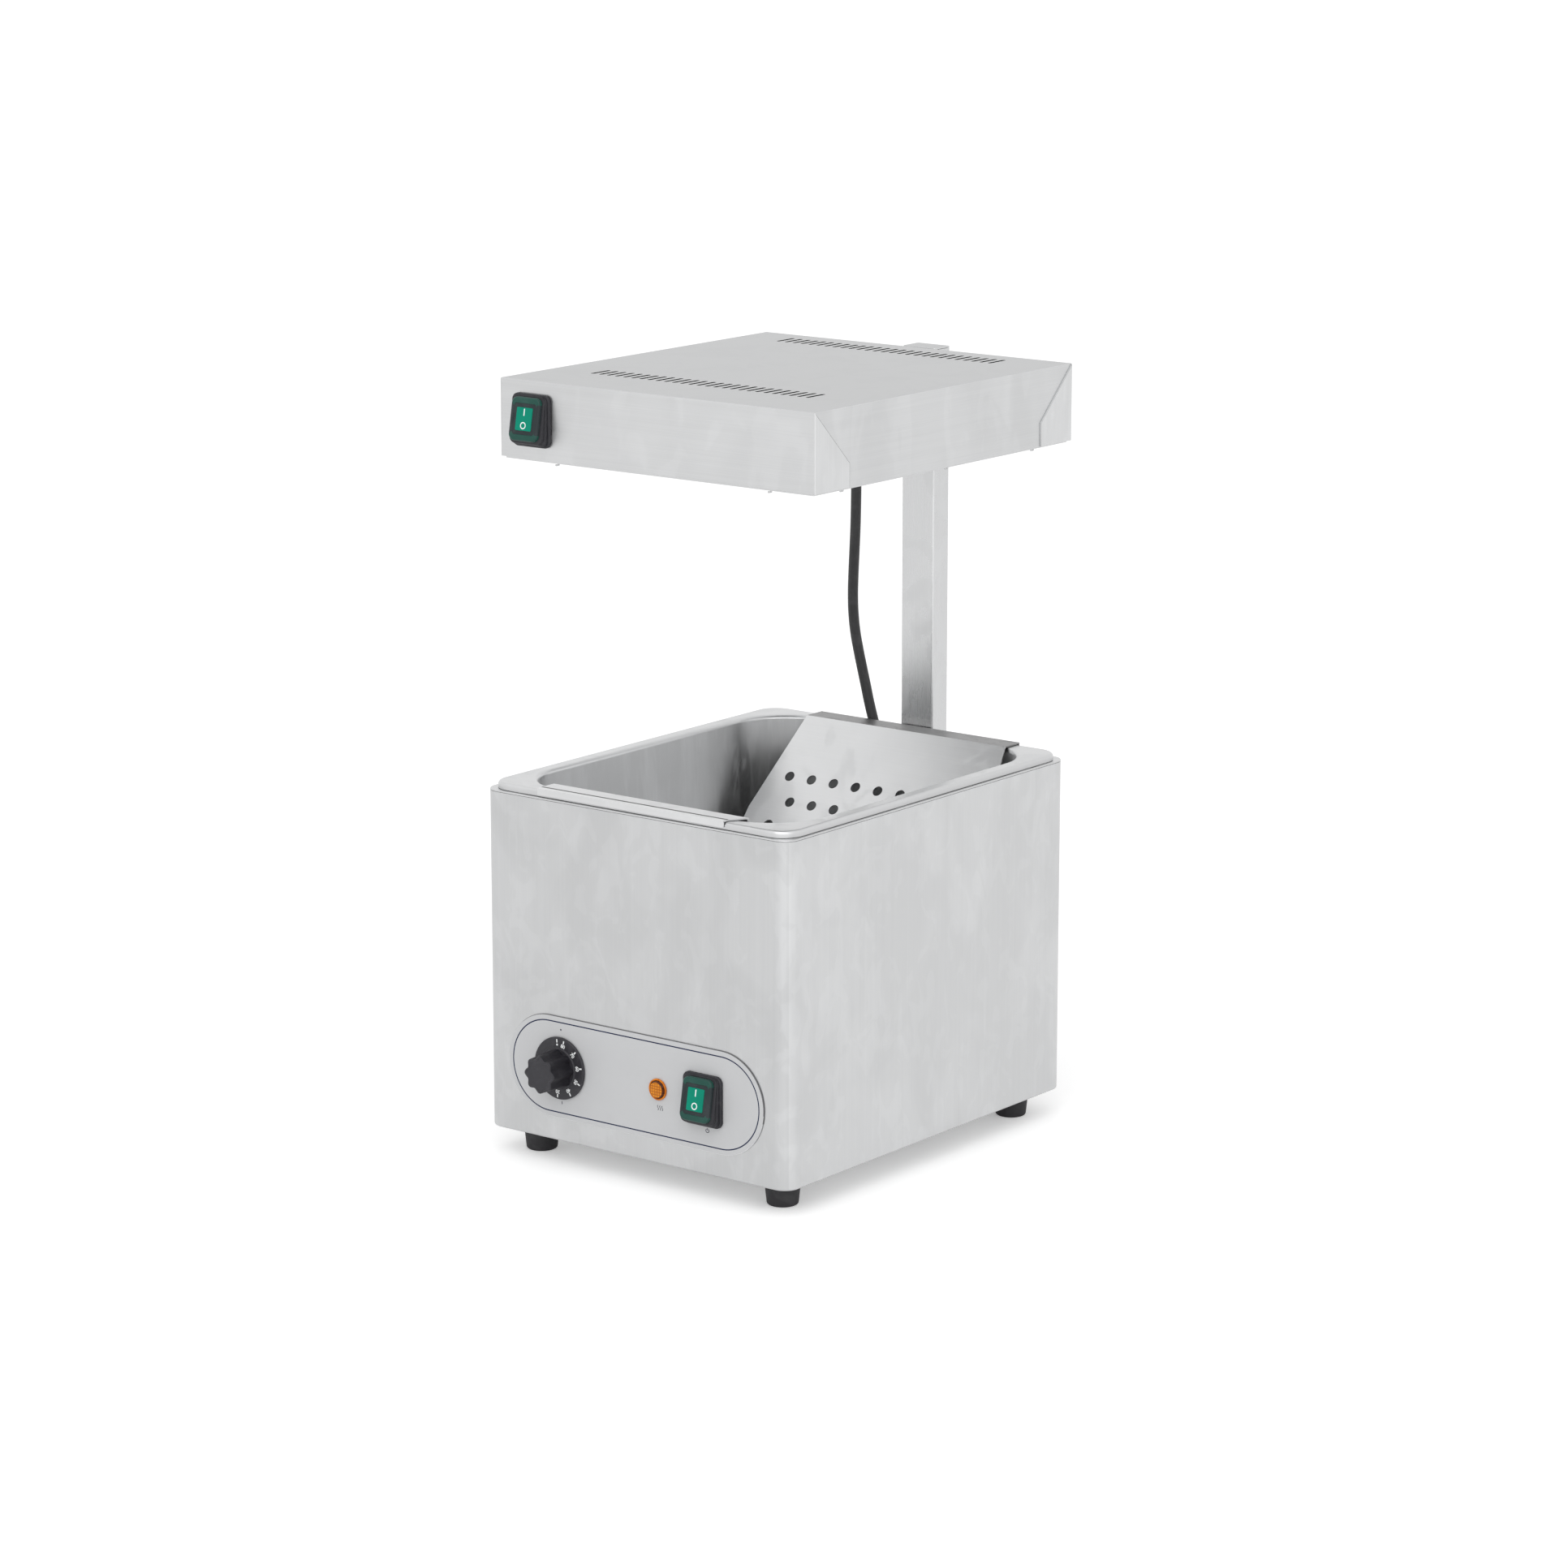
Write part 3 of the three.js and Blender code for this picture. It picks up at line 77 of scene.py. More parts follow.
class Body(Enum):
    """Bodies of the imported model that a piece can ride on."""

    STATION = "station"
    KNOB = "thermostat_knob"
    BASE_ROCKER = "base_switch_rocker"
    HEAD_ROCKER = "head_switch_rocker"
    PAN = "gn_pan"
    INSERT = "drain_insert"


class Slot(Enum):
    """Names of material slots."""

    BRUSHED = "brushed_steel"
    POLISHED = "polished_steel"
    ZINC = "zinc_steel"
    RUBBER = "black_rubber"
    PLASTIC = "black_plastic"
    GREEN = "green_plastic"
    AMBER = "amber_plastic"
    FILM = "plate_film"
    CERAMIC = "ceramic"
    QUARTZ = "quartz"
    COPPER = "copper"
    SHEATH = "lead_sheath"


class Graph:
    """Adds and links nodes in one node tree."""

    def __init__(self, tree: bpy.types.NodeTree) -> None:
        """Args: tree: the node tree to fill, which is emptied first."""
        self.tree = tree
        tree.nodes.clear()

    def feed(self, node: bpy.types.Node, key: str | int, value: Any) -> None:
        """Links a socket to an input, or sets the input's value.

        Args:
            node: node that takes the value.
            key: the input's name or number.
            value: an output socket to link, or a plain value.
        """
        if isinstance(value, Socket):
            self.tree.links.new(value, node.inputs[key])
        else:
            node.inputs[key].default_value = value

    def add(self, kind: str, feeds: dict[str | int, Any] | None = None, **settings: Any) -> bpy.types.Node:
        """Adds a node.

        Args:
            kind: Blender's name of the node type.
            feeds: what its inputs get.
            settings: properties of the node.

        Returns:
            The new node.
        """
        node = self.tree.nodes.new(kind)
        for name, value in settings.items():
            setattr(node, name, value)
        for key, value in (feeds or {}).items():
            self.feed(node, key, value)
        return node

    def math(self, operation: str, *values: Socket | float) -> Socket:
        """Adds a Math node.

        Args:
            operation: Blender's name of the operation.
            values: what its inputs get, in order.

        Returns:
            The result's socket.
        """
        return self.add("ShaderNodeMath", dict(enumerate(values)), operation=operation).outputs[0]

    def tint(self, colour: Triple, shade: Socket) -> Socket:
        """Multiplies a colour by a shade that varies round one, and returns the colour's socket."""
        feeds = {0: 1.0, 6: (*colour, 1), 7: shade}
        return self.add("ShaderNodeMix", feeds, data_type="RGBA", blend_type="MULTIPLY").outputs[2]

    def blend(self, mask: Socket, first: Triple | Socket, second: Triple | Socket) -> Socket:
        """Mixes two colours by a mask and returns the colour's socket."""
        ends = [end if isinstance(end, Socket) else (*end, 1) for end in (first, second)]
        mixed = self.add("ShaderNodeMix", {0: mask, 6: ends[0], 7: ends[1]}, data_type="RGBA")
        return mixed.outputs[2]

    def noise(self, place: Socket, scale: float, detail: float = 2.0, distortion: float = 0.0) -> Socket:
        """Adds a noise texture and returns its value, which varies round a half."""
        feeds = {"Vector": place, "Scale": scale, "Detail": detail, "Distortion": distortion}
        return self.add("ShaderNodeTexNoise", feeds).outputs[0]

    def spread(self, value: Socket, low: float, high: float, to_low: float = 0.0,
               to_high: float = 1.0) -> Socket:
        """Maps a stretch of a value to another, smoothly, and returns the result's socket."""
        feeds = {0: value, 1: low, 2: high, 3: to_low, 4: to_high}
        return self.add("ShaderNodeMapRange", feeds, interpolation_type="SMOOTHSTEP").outputs[0]

    def placed(self, scale: Triple, shift: Triple = (0, 0, 0)) -> Socket:
        """Returns Object coordinates, scaled by an amount per metre along each axis and shifted."""
        place = self.add("ShaderNodeTexCoord").outputs["Object"]
        return self.add("ShaderNodeMapping", {"Vector": place, "Scale": scale, "Location": shift}).outputs[0]


def effect(name: str, inputs: dict[str, float | None], outputs: Sequence[str],
           wire: Callable[[Graph, bpy.types.Node, bpy.types.Node], None]) -> bpy.types.NodeTree:
    """Makes a shader node group of one shared effect.

    Args:
        name: name of the group.
        inputs: each input with its usual value, or None where it is a place.
        outputs: names of the outputs, which are all plain values.
        wire: fills the group, given its graph, its inlet and its outlet.

    Returns:
        The group's node tree.
    """
    tree = bpy.data.node_groups.new(name, "ShaderNodeTree")
    for label, usual in inputs.items():
        kind = "NodeSocketVector" if usual is None else "NodeSocketFloat"
        socket = tree.interface.new_socket(name=label, in_out="INPUT", socket_type=kind)
        if usual is not None:
            socket.default_value = usual
    for label in outputs:
        tree.interface.new_socket(name=label, in_out="OUTPUT", socket_type="NodeSocketFloat")
    graph = Graph(tree)
    wire(graph, graph.add("NodeGroupInput"), graph.add("NodeGroupOutput"))
    return tree


@cache
def brush_grain() -> bpy.types.NodeTree:
    """Grain of a brushed sheet: a shade round one, and a height, from places stretched along the brush."""

    def wire(graph: Graph, inlet: bpy.types.Node, outlet: bpy.types.Node) -> None:
        fine = graph.noise(inlet.outputs["Place"], 1.0, 3.0)
        broad = graph.noise(inlet.outputs["Place"], 0.17, 2.0)
        both = graph.math("ADD", graph.math("MULTIPLY", fine, 0.6), graph.math("MULTIPLY", broad, 0.4))
        swing = graph.math("MULTIPLY", graph.math("SUBTRACT", both, 0.5), inlet.outputs["Contrast"])
        graph.feed(outlet, "Shade", graph.math("ADD", swing, 1.0))
        graph.feed(outlet, "Height", both)

    return effect("brush_grain", {"Place": None, "Contrast": 0.2}, ["Shade", "Height"], wire)


@cache
def cloud_marks() -> bpy.types.NodeTree:
    """Faint patches that wiping and handling leave on a sheet: a shade round one, and a haze mask."""

    def wire(graph: Graph, inlet: bpy.types.Node, outlet: bpy.types.Node) -> None:
        broad = graph.noise(inlet.outputs["Place"], 1.0, 3.0, 0.6)
        ragged = graph.noise(inlet.outputs["Place"], 2.7, 8.0, 1.2)
        patches = graph.spread(broad, 0.38, 0.62)
        flecks = graph.spread(ragged, 0.52, 0.6)
        swing = graph.math("ADD", graph.math("MULTIPLY", graph.math("SUBTRACT", patches, 0.5), 0.7),
                           graph.math("MULTIPLY", flecks, 0.5))
        graph.feed(outlet, "Shade", graph.math("MULTIPLY_ADD", swing, inlet.outputs["Contrast"], 1.0))
        graph.feed(outlet, "Haze", flecks)

    return effect("cloud_marks", {"Place": None, "Contrast": 0.05}, ["Shade", "Haze"], wire)


@cache
def edge_wear() -> bpy.types.NodeTree:
    """Mask of the edges, broken up by noise, where a surface is rubbed."""

    def wire(graph: Graph, inlet: bpy.types.Node, outlet: bpy.types.Node) -> None:
        rounded = graph.add("ShaderNodeBevel", {"Radius": inlet.outputs["Width"]}, samples=4)
        flat = graph.add("ShaderNodeNewGeometry").outputs["Normal"]
        along = graph.add("ShaderNodeVectorMath", {0: rounded.outputs[0], 1: flat}, operation="DOT_PRODUCT")
        edge = graph.spread(along.outputs["Value"], 0.995, 0.86)
        broken = graph.spread(graph.noise(graph.placed((300, 300, 300)), 1.0, 3.0), 0.3, 0.6)
        amount = graph.math("MULTIPLY", edge, broken)
        graph.feed(outlet, "Mask", graph.math("MULTIPLY", amount, inlet.outputs["Amount"]))

    return effect("edge_wear", {"Amount": 0.5, "Width": 0.5 * MM}, ["Mask"], wire)


@cache
def moulded_grain() -> bpy.types.NodeTree:
    """Pebbled skin of moulded rubber or plastic: a shade round one, a height and a mask of settled dust."""

    def wire(graph: Graph, inlet: bpy.types.Node, outlet: bpy.types.Node) -> None:
        pebble = graph.noise(inlet.outputs["Place"], 1.0, 2.0)
        broad = graph.noise(inlet.outputs["Place"], 0.05, 4.0, 0.5)
        swing = graph.math("MULTIPLY", graph.math("SUBTRACT", broad, 0.5), inlet.outputs["Contrast"])
        graph.feed(outlet, "Shade", graph.math("ADD", swing, 1.0))
        graph.feed(outlet, "Height", pebble)
        graph.feed(outlet, "Dust", graph.spread(broad, 0.5, 0.72))

    return effect("moulded_grain", {"Place": None, "Contrast": 0.3}, ["Shade", "Height", "Dust"], wire)


def effect_node(graph: Graph, tree: bpy.types.NodeTree, feeds: dict[str, Any]) -> bpy.types.Node:
    """Places a shared effect in a material with its own values and returns its node."""
    return graph.add("ShaderNodeGroup", feeds, node_tree=tree)


def new_material(name: str) -> tuple[bpy.types.Material, Graph]:
    """Makes an empty node material.

    Args:
        name: name of the material.

    Returns:
        The material and the graph of its nodes.
    """
    material = bpy.data.materials.new(name)
    material.use_nodes = True
    return material, Graph(material.node_tree)


def surface(graph: Graph, feeds: dict[str, Any]) -> bpy.types.Node:
    """Adds the Principled shader with its inputs and the output node, and returns the shader."""
    shader = graph.add("ShaderNodeBsdfPrincipled", feeds)
    graph.add("ShaderNodeOutputMaterial", {"Surface": shader.outputs[0]})
    return shader


def bump(graph: Graph, height: Socket, depth: float) -> Socket:
    """Adds a Bump node for a height of this depth and returns its normal."""
    return graph.add("ShaderNodeBump", {"Height": height, "Distance": depth, "Strength": 1.0}).outputs[0]


@dataclass(frozen=True)
class Steel:
    """Sheet steel: a metal with brushed grain, faint patches and bright rubbed edges."""

    name: str
    colour: Triple = (0.635, 0.64, 0.645)
    roughness: float = 0.33
    grain: Triple = (900, 900, 7)
    contrast: float = 0.16
    depth: float = 0.012 * MM
    patches: Triple = (13, 13, 8)
    patch_contrast: float = 0.05
    haze: float = 0.1
    wear: float = 0.4

    def build(self) -> bpy.types.Material:
        """Returns the material."""
        material, graph = new_material(self.name)
        grain = effect_node(graph, brush_grain(),
                            {"Place": graph.placed(self.grain), "Contrast": self.contrast})
        marks = effect_node(graph, cloud_marks(),
                            {"Place": graph.placed(self.patches), "Contrast": self.patch_contrast})
        worn = effect_node(graph, edge_wear(), {"Amount": self.wear})
        shade = graph.math("MULTIPLY", grain.outputs["Shade"], marks.outputs["Shade"])
        bright = tuple(min(1.0, part * 1.3) for part in self.colour)
        dull = graph.math("MULTIPLY_ADD", marks.outputs["Haze"], self.haze, self.roughness)
        swing = graph.math("MULTIPLY", graph.math("SUBTRACT", grain.outputs["Height"], 0.5), 0.12)
        surface(graph, {
            "Base Color": graph.blend(worn.outputs["Mask"], graph.tint(self.colour, shade), bright),
            "Roughness": graph.math("ADD", dull, swing),
            "Metallic": 1.0,
            "Normal": bump(graph, grain.outputs["Height"], self.depth),
        })
        return material


@dataclass(frozen=True)
class Moulding:
    """Moulded rubber, plastic or ceramic, with a pebbled skin, settled dust and rubbed edges."""

    name: str
    colour: Triple
    roughness: float = 0.5
    pebbles: float = 2200
    contrast: float = 0.35
    depth: float = 0.02 * MM
    dust: float = 0.12
    wear: float = 0.35
    gloss: float = 0.4

    def build(self) -> bpy.types.Material:
        """Returns the material."""
        material, graph = new_material(self.name)
        place = graph.placed((self.pebbles,) * 3)
        skin = effect_node(graph, moulded_grain(), {"Place": place, "Contrast": self.contrast})
        worn = effect_node(graph, edge_wear(), {"Amount": self.wear})
        pale = tuple(min(1.0, part * 1.5 + 0.06) for part in self.colour)
        dusty = tuple(part * 0.75 + 0.12 for part in self.colour)
        body = graph.tint(self.colour, skin.outputs["Shade"])
        settled = graph.math("MULTIPLY", skin.outputs["Dust"], self.dust)
        body = graph.blend(settled, body, dusty)
        surface(graph, {
            "Base Color": graph.blend(worn.outputs["Mask"], body, pale),
            "Roughness": graph.math("MULTIPLY_ADD", skin.outputs["Dust"], 0.15, self.roughness),
            "Specular IOR Level": self.gloss,
            "Normal": bump(graph, skin.outputs["Height"], self.depth),
        })
        return material


@dataclass(frozen=True)
class GridLens:
    """Clear amber moulding with a fine square grid inside it."""

    name: str
    colour: Triple
    deep: Triple
    pitch: float = 2.0 * MM
    roughness: float = 0.2
    gloss: float = 0.2

    def build(self) -> bpy.types.Material:
        """Returns the material."""
        material, graph = new_material(self.name)
        place = graph.placed((1 / self.pitch,) * 3)
        parts = graph.add("ShaderNodeSeparateXYZ", {0: place})
        waves = [
            graph.math("ABSOLUTE", graph.math("SINE", graph.math("MULTIPLY", parts.outputs[axis], math.pi)))
            for axis in ("X", "Z")
        ]
        cells = graph.spread(graph.math("MINIMUM", *waves), 0.2, 0.6)
        cloudy = graph.spread(graph.noise(graph.placed((260, 260, 260)), 1.0, 2.0), 0.3, 0.7)
        mask = graph.math("MULTIPLY", cells, graph.math("MULTIPLY_ADD", cloudy, 0.4, 0.6))
        surface(graph, {
            "Base Color": graph.blend(mask, self.deep, self.colour),
            "Roughness": graph.math("MULTIPLY_ADD", cloudy, 0.08, self.roughness),
            "Specular IOR Level": self.gloss,
            "Normal": bump(graph, cells, 0.1 * MM),
        })
        return material


@dataclass(frozen=True)
class Glass:
    """Clear quartz with faint drawing lines."""

    name: str
    colour: Triple = (0.97, 0.98, 1.0)
    roughness: float = 0.04

    def build(self) -> bpy.types.Material:
        """Returns the material."""
        material, graph = new_material(self.name)
        lines = graph.noise(graph.placed((8, 900, 900)), 1.0, 2.0)
        surface(graph, {
            "Base Color": graph.tint(self.colour, graph.spread(lines, 0.3, 0.7, 0.94, 1.0)),
            "Roughness": graph.spread(lines, 0.3, 0.7, self.roughness, 3 * self.roughness),
            "Transmission Weight": 1.0,
            "IOR": 1.46,
            "Normal": bump(graph, lines, 0.01 * MM),
        })
        return material


Finish = Steel | Moulding | GridLens | Glass


@cache
def material_of(finish: Finish) -> bpy.types.Material:
    """Returns a finish's material, which is built the first time."""
    return finish.build()


CASING_STEEL = Steel("casing_steel", colour=(0.605, 0.61, 0.615), grain=(1100, 1100, 9), contrast=0.1,
                     patches=(19, 19, 12), patch_contrast=0.085)
# Painted light: a lighter copy of the casing steel for the right side wall, drawn brighter than the front as
# if more light fell on it.
CASING_LIT_SIDE_STEEL = replace(CASING_STEEL, name="casing_painted_lit_side", colour=(0.66, 0.665, 0.67))
DECK_STEEL = Steel("deck_steel", grain=(9, 1100, 1100))
HEAD_FRONT_STEEL = Steel("head_front_steel", colour=(0.675, 0.68, 0.685), grain=(9, 900, 1300))
HEAD_SIDE_STEEL = Steel("head_side_steel", colour=(0.67, 0.675, 0.68), grain=(900, 9, 1300),
                        patches=(14, 14, 5), patch_contrast=0.075)
# Painted sheen: the tabs lie in the side walls' plane but are coloured lighter, standing in for their
# brighter reflection.
HEAD_TAB_SHEEN_STEEL = Steel("head_tab_painted_sheen", colour=(0.72, 0.725, 0.73), grain=(900, 900, 12),
                       patches=(25, 25, 12), patch_contrast=0.06, wear=0.0)
# Painted shade: a much darker copy of the head steel for the hood's top and the post cap's top, drawn darker
# as less light falls on them, and for the rear tabs' seams.
PAINTED_SHADE_STEEL = Steel("painted_shade_steel", colour=(0.48, 0.485, 0.49), grain=(9, 1200, 900),
                       patch_contrast=0.015, haze=0.02)
PAN_STEEL = Steel("pan_steel", colour=(0.60, 0.605, 0.61), roughness=0.42, grain=(420, 420, 12),
                  contrast=0.09, depth=0.002 * MM, patches=(30, 30, 6), patch_contrast=0.13, wear=0.25)
RIM_STEEL = Steel("rim_steel", colour=(0.63, 0.635, 0.64), roughness=0.3, grain=(300, 300, 300),
                  contrast=0.06, depth=0.002 * MM)
INSERT_STEEL = Steel("insert_steel", colour=(0.70, 0.705, 0.71), roughness=0.36, grain=(9, 800, 800),
                     contrast=0.1, patch_contrast=0.035)
# Painted shade: a dark copy of the insert steel for the rear hook's top, drawn dark for the shadowed
# surroundings that it reflects.
REAR_HOOK_SHADE_STEEL = Steel("rear_hook_painted_shade", colour=(0.27, 0.268, 0.27), roughness=0.4, grain=(9, 800, 800),
                   contrast=0.2, patches=(30, 60, 60), patch_contrast=0.12)
# Painted highlight: a lighter copy of the insert steel for the front hook's lip, drawn bright for the light
# that it reflects.
LIP_HIGHLIGHT_STEEL = Steel("lip_painted_highlight", colour=(0.72, 0.725, 0.73), grain=(9, 800, 800), contrast=0.1)
# Painted shade: near-black steel for the dark line at the front hook's crease and for the front tabs' seams.
DEEP_SHADE_STEEL = Steel("painted_deep_shade", colour=(0.12, 0.12, 0.12), roughness=0.5, grain=(9, 800, 800), wear=0.0)
POST_STEEL = Steel("post_steel", colour=(0.68, 0.685, 0.69), grain=(1100, 1100, 10), roughness=0.27)
ZINC_STEEL = Steel("zinc_steel", colour=(0.45, 0.46, 0.46), roughness=0.4, grain=(500, 500, 500),
                   contrast=0.2, patches=(60, 60, 60), patch_contrast=0.15)
SCREW_STEEL = Steel("screw_steel", colour=(0.62, 0.625, 0.63), roughness=0.3, grain=(700, 700, 700),
                    contrast=0.15)
ELEMENT_STEEL = Steel("element_steel", colour=(0.25, 0.24, 0.23), roughness=0.5, grain=(700, 700, 700),
                      contrast=0.3, patches=(40, 40, 40), patch_contrast=0.25)
# Painted shade: near-black steel for the cut walls of the hood's slots and for the hood's inner side,
# standing in for the shade inside the head.
HOLLOW_SHADE_STEEL = Steel("painted_hollow_shade", colour=(0.022, 0.022, 0.024), roughness=0.6, grain=(2000, 2000, 300),
                      contrast=0.4, wear=0.0)
REFLECTOR_METAL = Steel("reflector_metal", colour=(0.88, 0.885, 0.89), roughness=0.18, grain=(7, 700, 700),
                        contrast=0.05, depth=0.003 * MM)
COPPER_METAL = Steel("copper_metal", colour=(0.62, 0.32, 0.18), roughness=0.32, grain=(600, 60, 600))
FILAMENT = Steel("filament", colour=(0.35, 0.33, 0.31), roughness=0.35, grain=(900, 900, 900))
RUBBER = Moulding("black_rubber", colour=(0.030, 0.029, 0.032), roughness=0.62, pebbles=1500, dust=0.25)
BOOT_RUBBER = Moulding("boot_rubber", colour=(0.022, 0.022, 0.027), roughness=0.5, pebbles=3000)
BLACK_PLASTIC = Moulding("black_plastic", colour=(0.03, 0.029, 0.034), roughness=0.42, pebbles=2600)
KNOB_PLASTIC = Moulding("knob_plastic", colour=(0.030, 0.029, 0.035), roughness=0.45, pebbles=2400,
                        depth=0.03 * MM)
# Painted shade: a darker copy of the knob's plastic for the flutes' steep sides, drawn dark as if in shade.
GRIP_SHADE_PLASTIC = Moulding("grip_painted_shade", colour=(0.013, 0.012, 0.016), roughness=0.42, pebbles=2400,
                        depth=0.03 * MM, gloss=0.25)
COVER_GREEN = Moulding("cover_green", colour=(0.014, 0.075, 0.058), roughness=0.3, pebbles=900, dust=0.1,
                       gloss=0.25)
INNER_GREEN = Moulding("inner_green", colour=(0.022, 0.032, 0.035), roughness=0.35, pebbles=900, gloss=0.25)
WINDOW_GREEN = Moulding("window_green", colour=(0.002, 0.27, 0.175), roughness=0.3, pebbles=400, contrast=0.5,
                        depth=0.01 * MM, dust=0.0, wear=0.15, gloss=0.12)
MARK_WHITE = Moulding("mark_white", colour=(0.93, 0.95, 0.95), roughness=0.45, pebbles=3000, contrast=0.1,
                      dust=0.05)
MARK_NAVY = Moulding("mark_navy", colour=(0.010, 0.018, 0.062), roughness=0.4, pebbles=1800, contrast=0.5,
                     dust=0.0, wear=0.0, gloss=0.2)
MARK_GREY = Moulding("mark_grey", colour=(0.05, 0.05, 0.07), roughness=0.5, pebbles=2500, dust=0.0,
                     wear=0.0, gloss=0.3)
FILM = Moulding("plate_film", colour=(0.59, 0.595, 0.605), roughness=0.38, pebbles=1400, contrast=0.06,
                depth=0.006 * MM, dust=0.1, wear=0.0)
# Painted shade and painted highlight: darker and lighter copies of the film for the plate's rounded edge,
# drawn dark where it faces up and right and light where it faces down and left.
FILM_SHADE = Moulding("film_shade", colour=(0.16, 0.16, 0.165), roughness=0.5, pebbles=1400, dust=0.1,
                      wear=0.0, gloss=0.2)
FILM_HIGHLIGHT = Moulding("film_painted_highlight", colour=(0.85, 0.855, 0.86), roughness=0.3, pebbles=1400, dust=0.05,
                      wear=0.0)
CERAMIC = Moulding("ceramic", colour=(0.72, 0.69, 0.60), roughness=0.7, pebbles=1200, dust=0.2)
SHEATH = Moulding("lead_sheath", colour=(0.042, 0.042, 0.044), roughness=0.48, pebbles=1800, dust=0.2)
AMBER_LENS = GridLens("amber_lens", colour=(0.84, 0.30, 0.018), deep=(0.44, 0.12, 0.008))
AMBER_BEZEL = GridLens("amber_bezel", colour=(0.80, 0.24, 0.012), deep=(0.62, 0.16, 0.008), pitch=6 * MM)
# Painted shade: the lens's side wall coloured a dark brown for the shade round its rim.
AMBER_WALL_SHADE = GridLens("amber_wall_painted_shade", colour=(0.13, 0.036, 0.012), deep=(0.06, 0.018, 0.008), pitch=3 * MM)
QUARTZ = Glass("quartz")


@dataclass(frozen=True)
class Rounded:
    """Rounded rectangle in a level plane, about its middle."""

    width: float
    depth: float
    corner: float
    x: float = 0.0
    y: float = 0.0

    def inset(self, amount: float) -> "Rounded":
        """Returns the outline drawn in by an amount, or out by a negative one."""
        corner = max(self.corner - amount, 0.05 * MM)
        return Rounded(self.width - 2 * amount, self.depth - 2 * amount, corner, self.x, self.y)

    def matched(self, other: "Rounded", spot: Vector) -> tuple[float, float]:
        """Returns the place on this outline that answers to a point of another one's corner.

        Args:
            other: outline that the point lies on.
            spot: the point.
        """
        place = []
        for value, middle, size, own_middle, own_size in (
            (spot.x, other.x, other.width, self.x, self.width),
            (spot.y, other.y, other.depth, self.y, self.depth),
        ):
            side = math.copysign(1, value - middle)
            share = (side * (value - middle) - size / 2 + other.corner) / other.corner
            place.append(own_middle + side * (own_size / 2 - self.corner + share * self.corner))
        return place[0], place[1]


def facing_front(x: float, y: float, z: float) -> Matrix:
    """Returns the matrix that turns a face-on form to the front wall, with its origin at a place."""
    return Matrix.Translation((x, y, z)) @ Matrix.Rotation(QUARTER_TURN, 4, "X")


def facing_back(x: float, y: float, z: float) -> Matrix:
    """Returns the matrix that turns a face-on form to the back wall, with its origin at a place."""
    turn = Matrix.Rotation(math.pi, 4, "Z") @ Matrix.Rotation(QUARTER_TURN, 4, "X")
    return Matrix.Translation((x, y, z)) @ turn


def spanning(start: Sequence[float], end: Sequence[float]) -> Matrix:
    """Returns the matrix that lays an upright form, centred on the origin, between two points."""
    turn = (Vector(end) - Vector(start)).to_track_quat("Z", "Y").to_matrix().to_4x4()
    return Matrix.Translation((Vector(start) + Vector(end)) / 2) @ turn


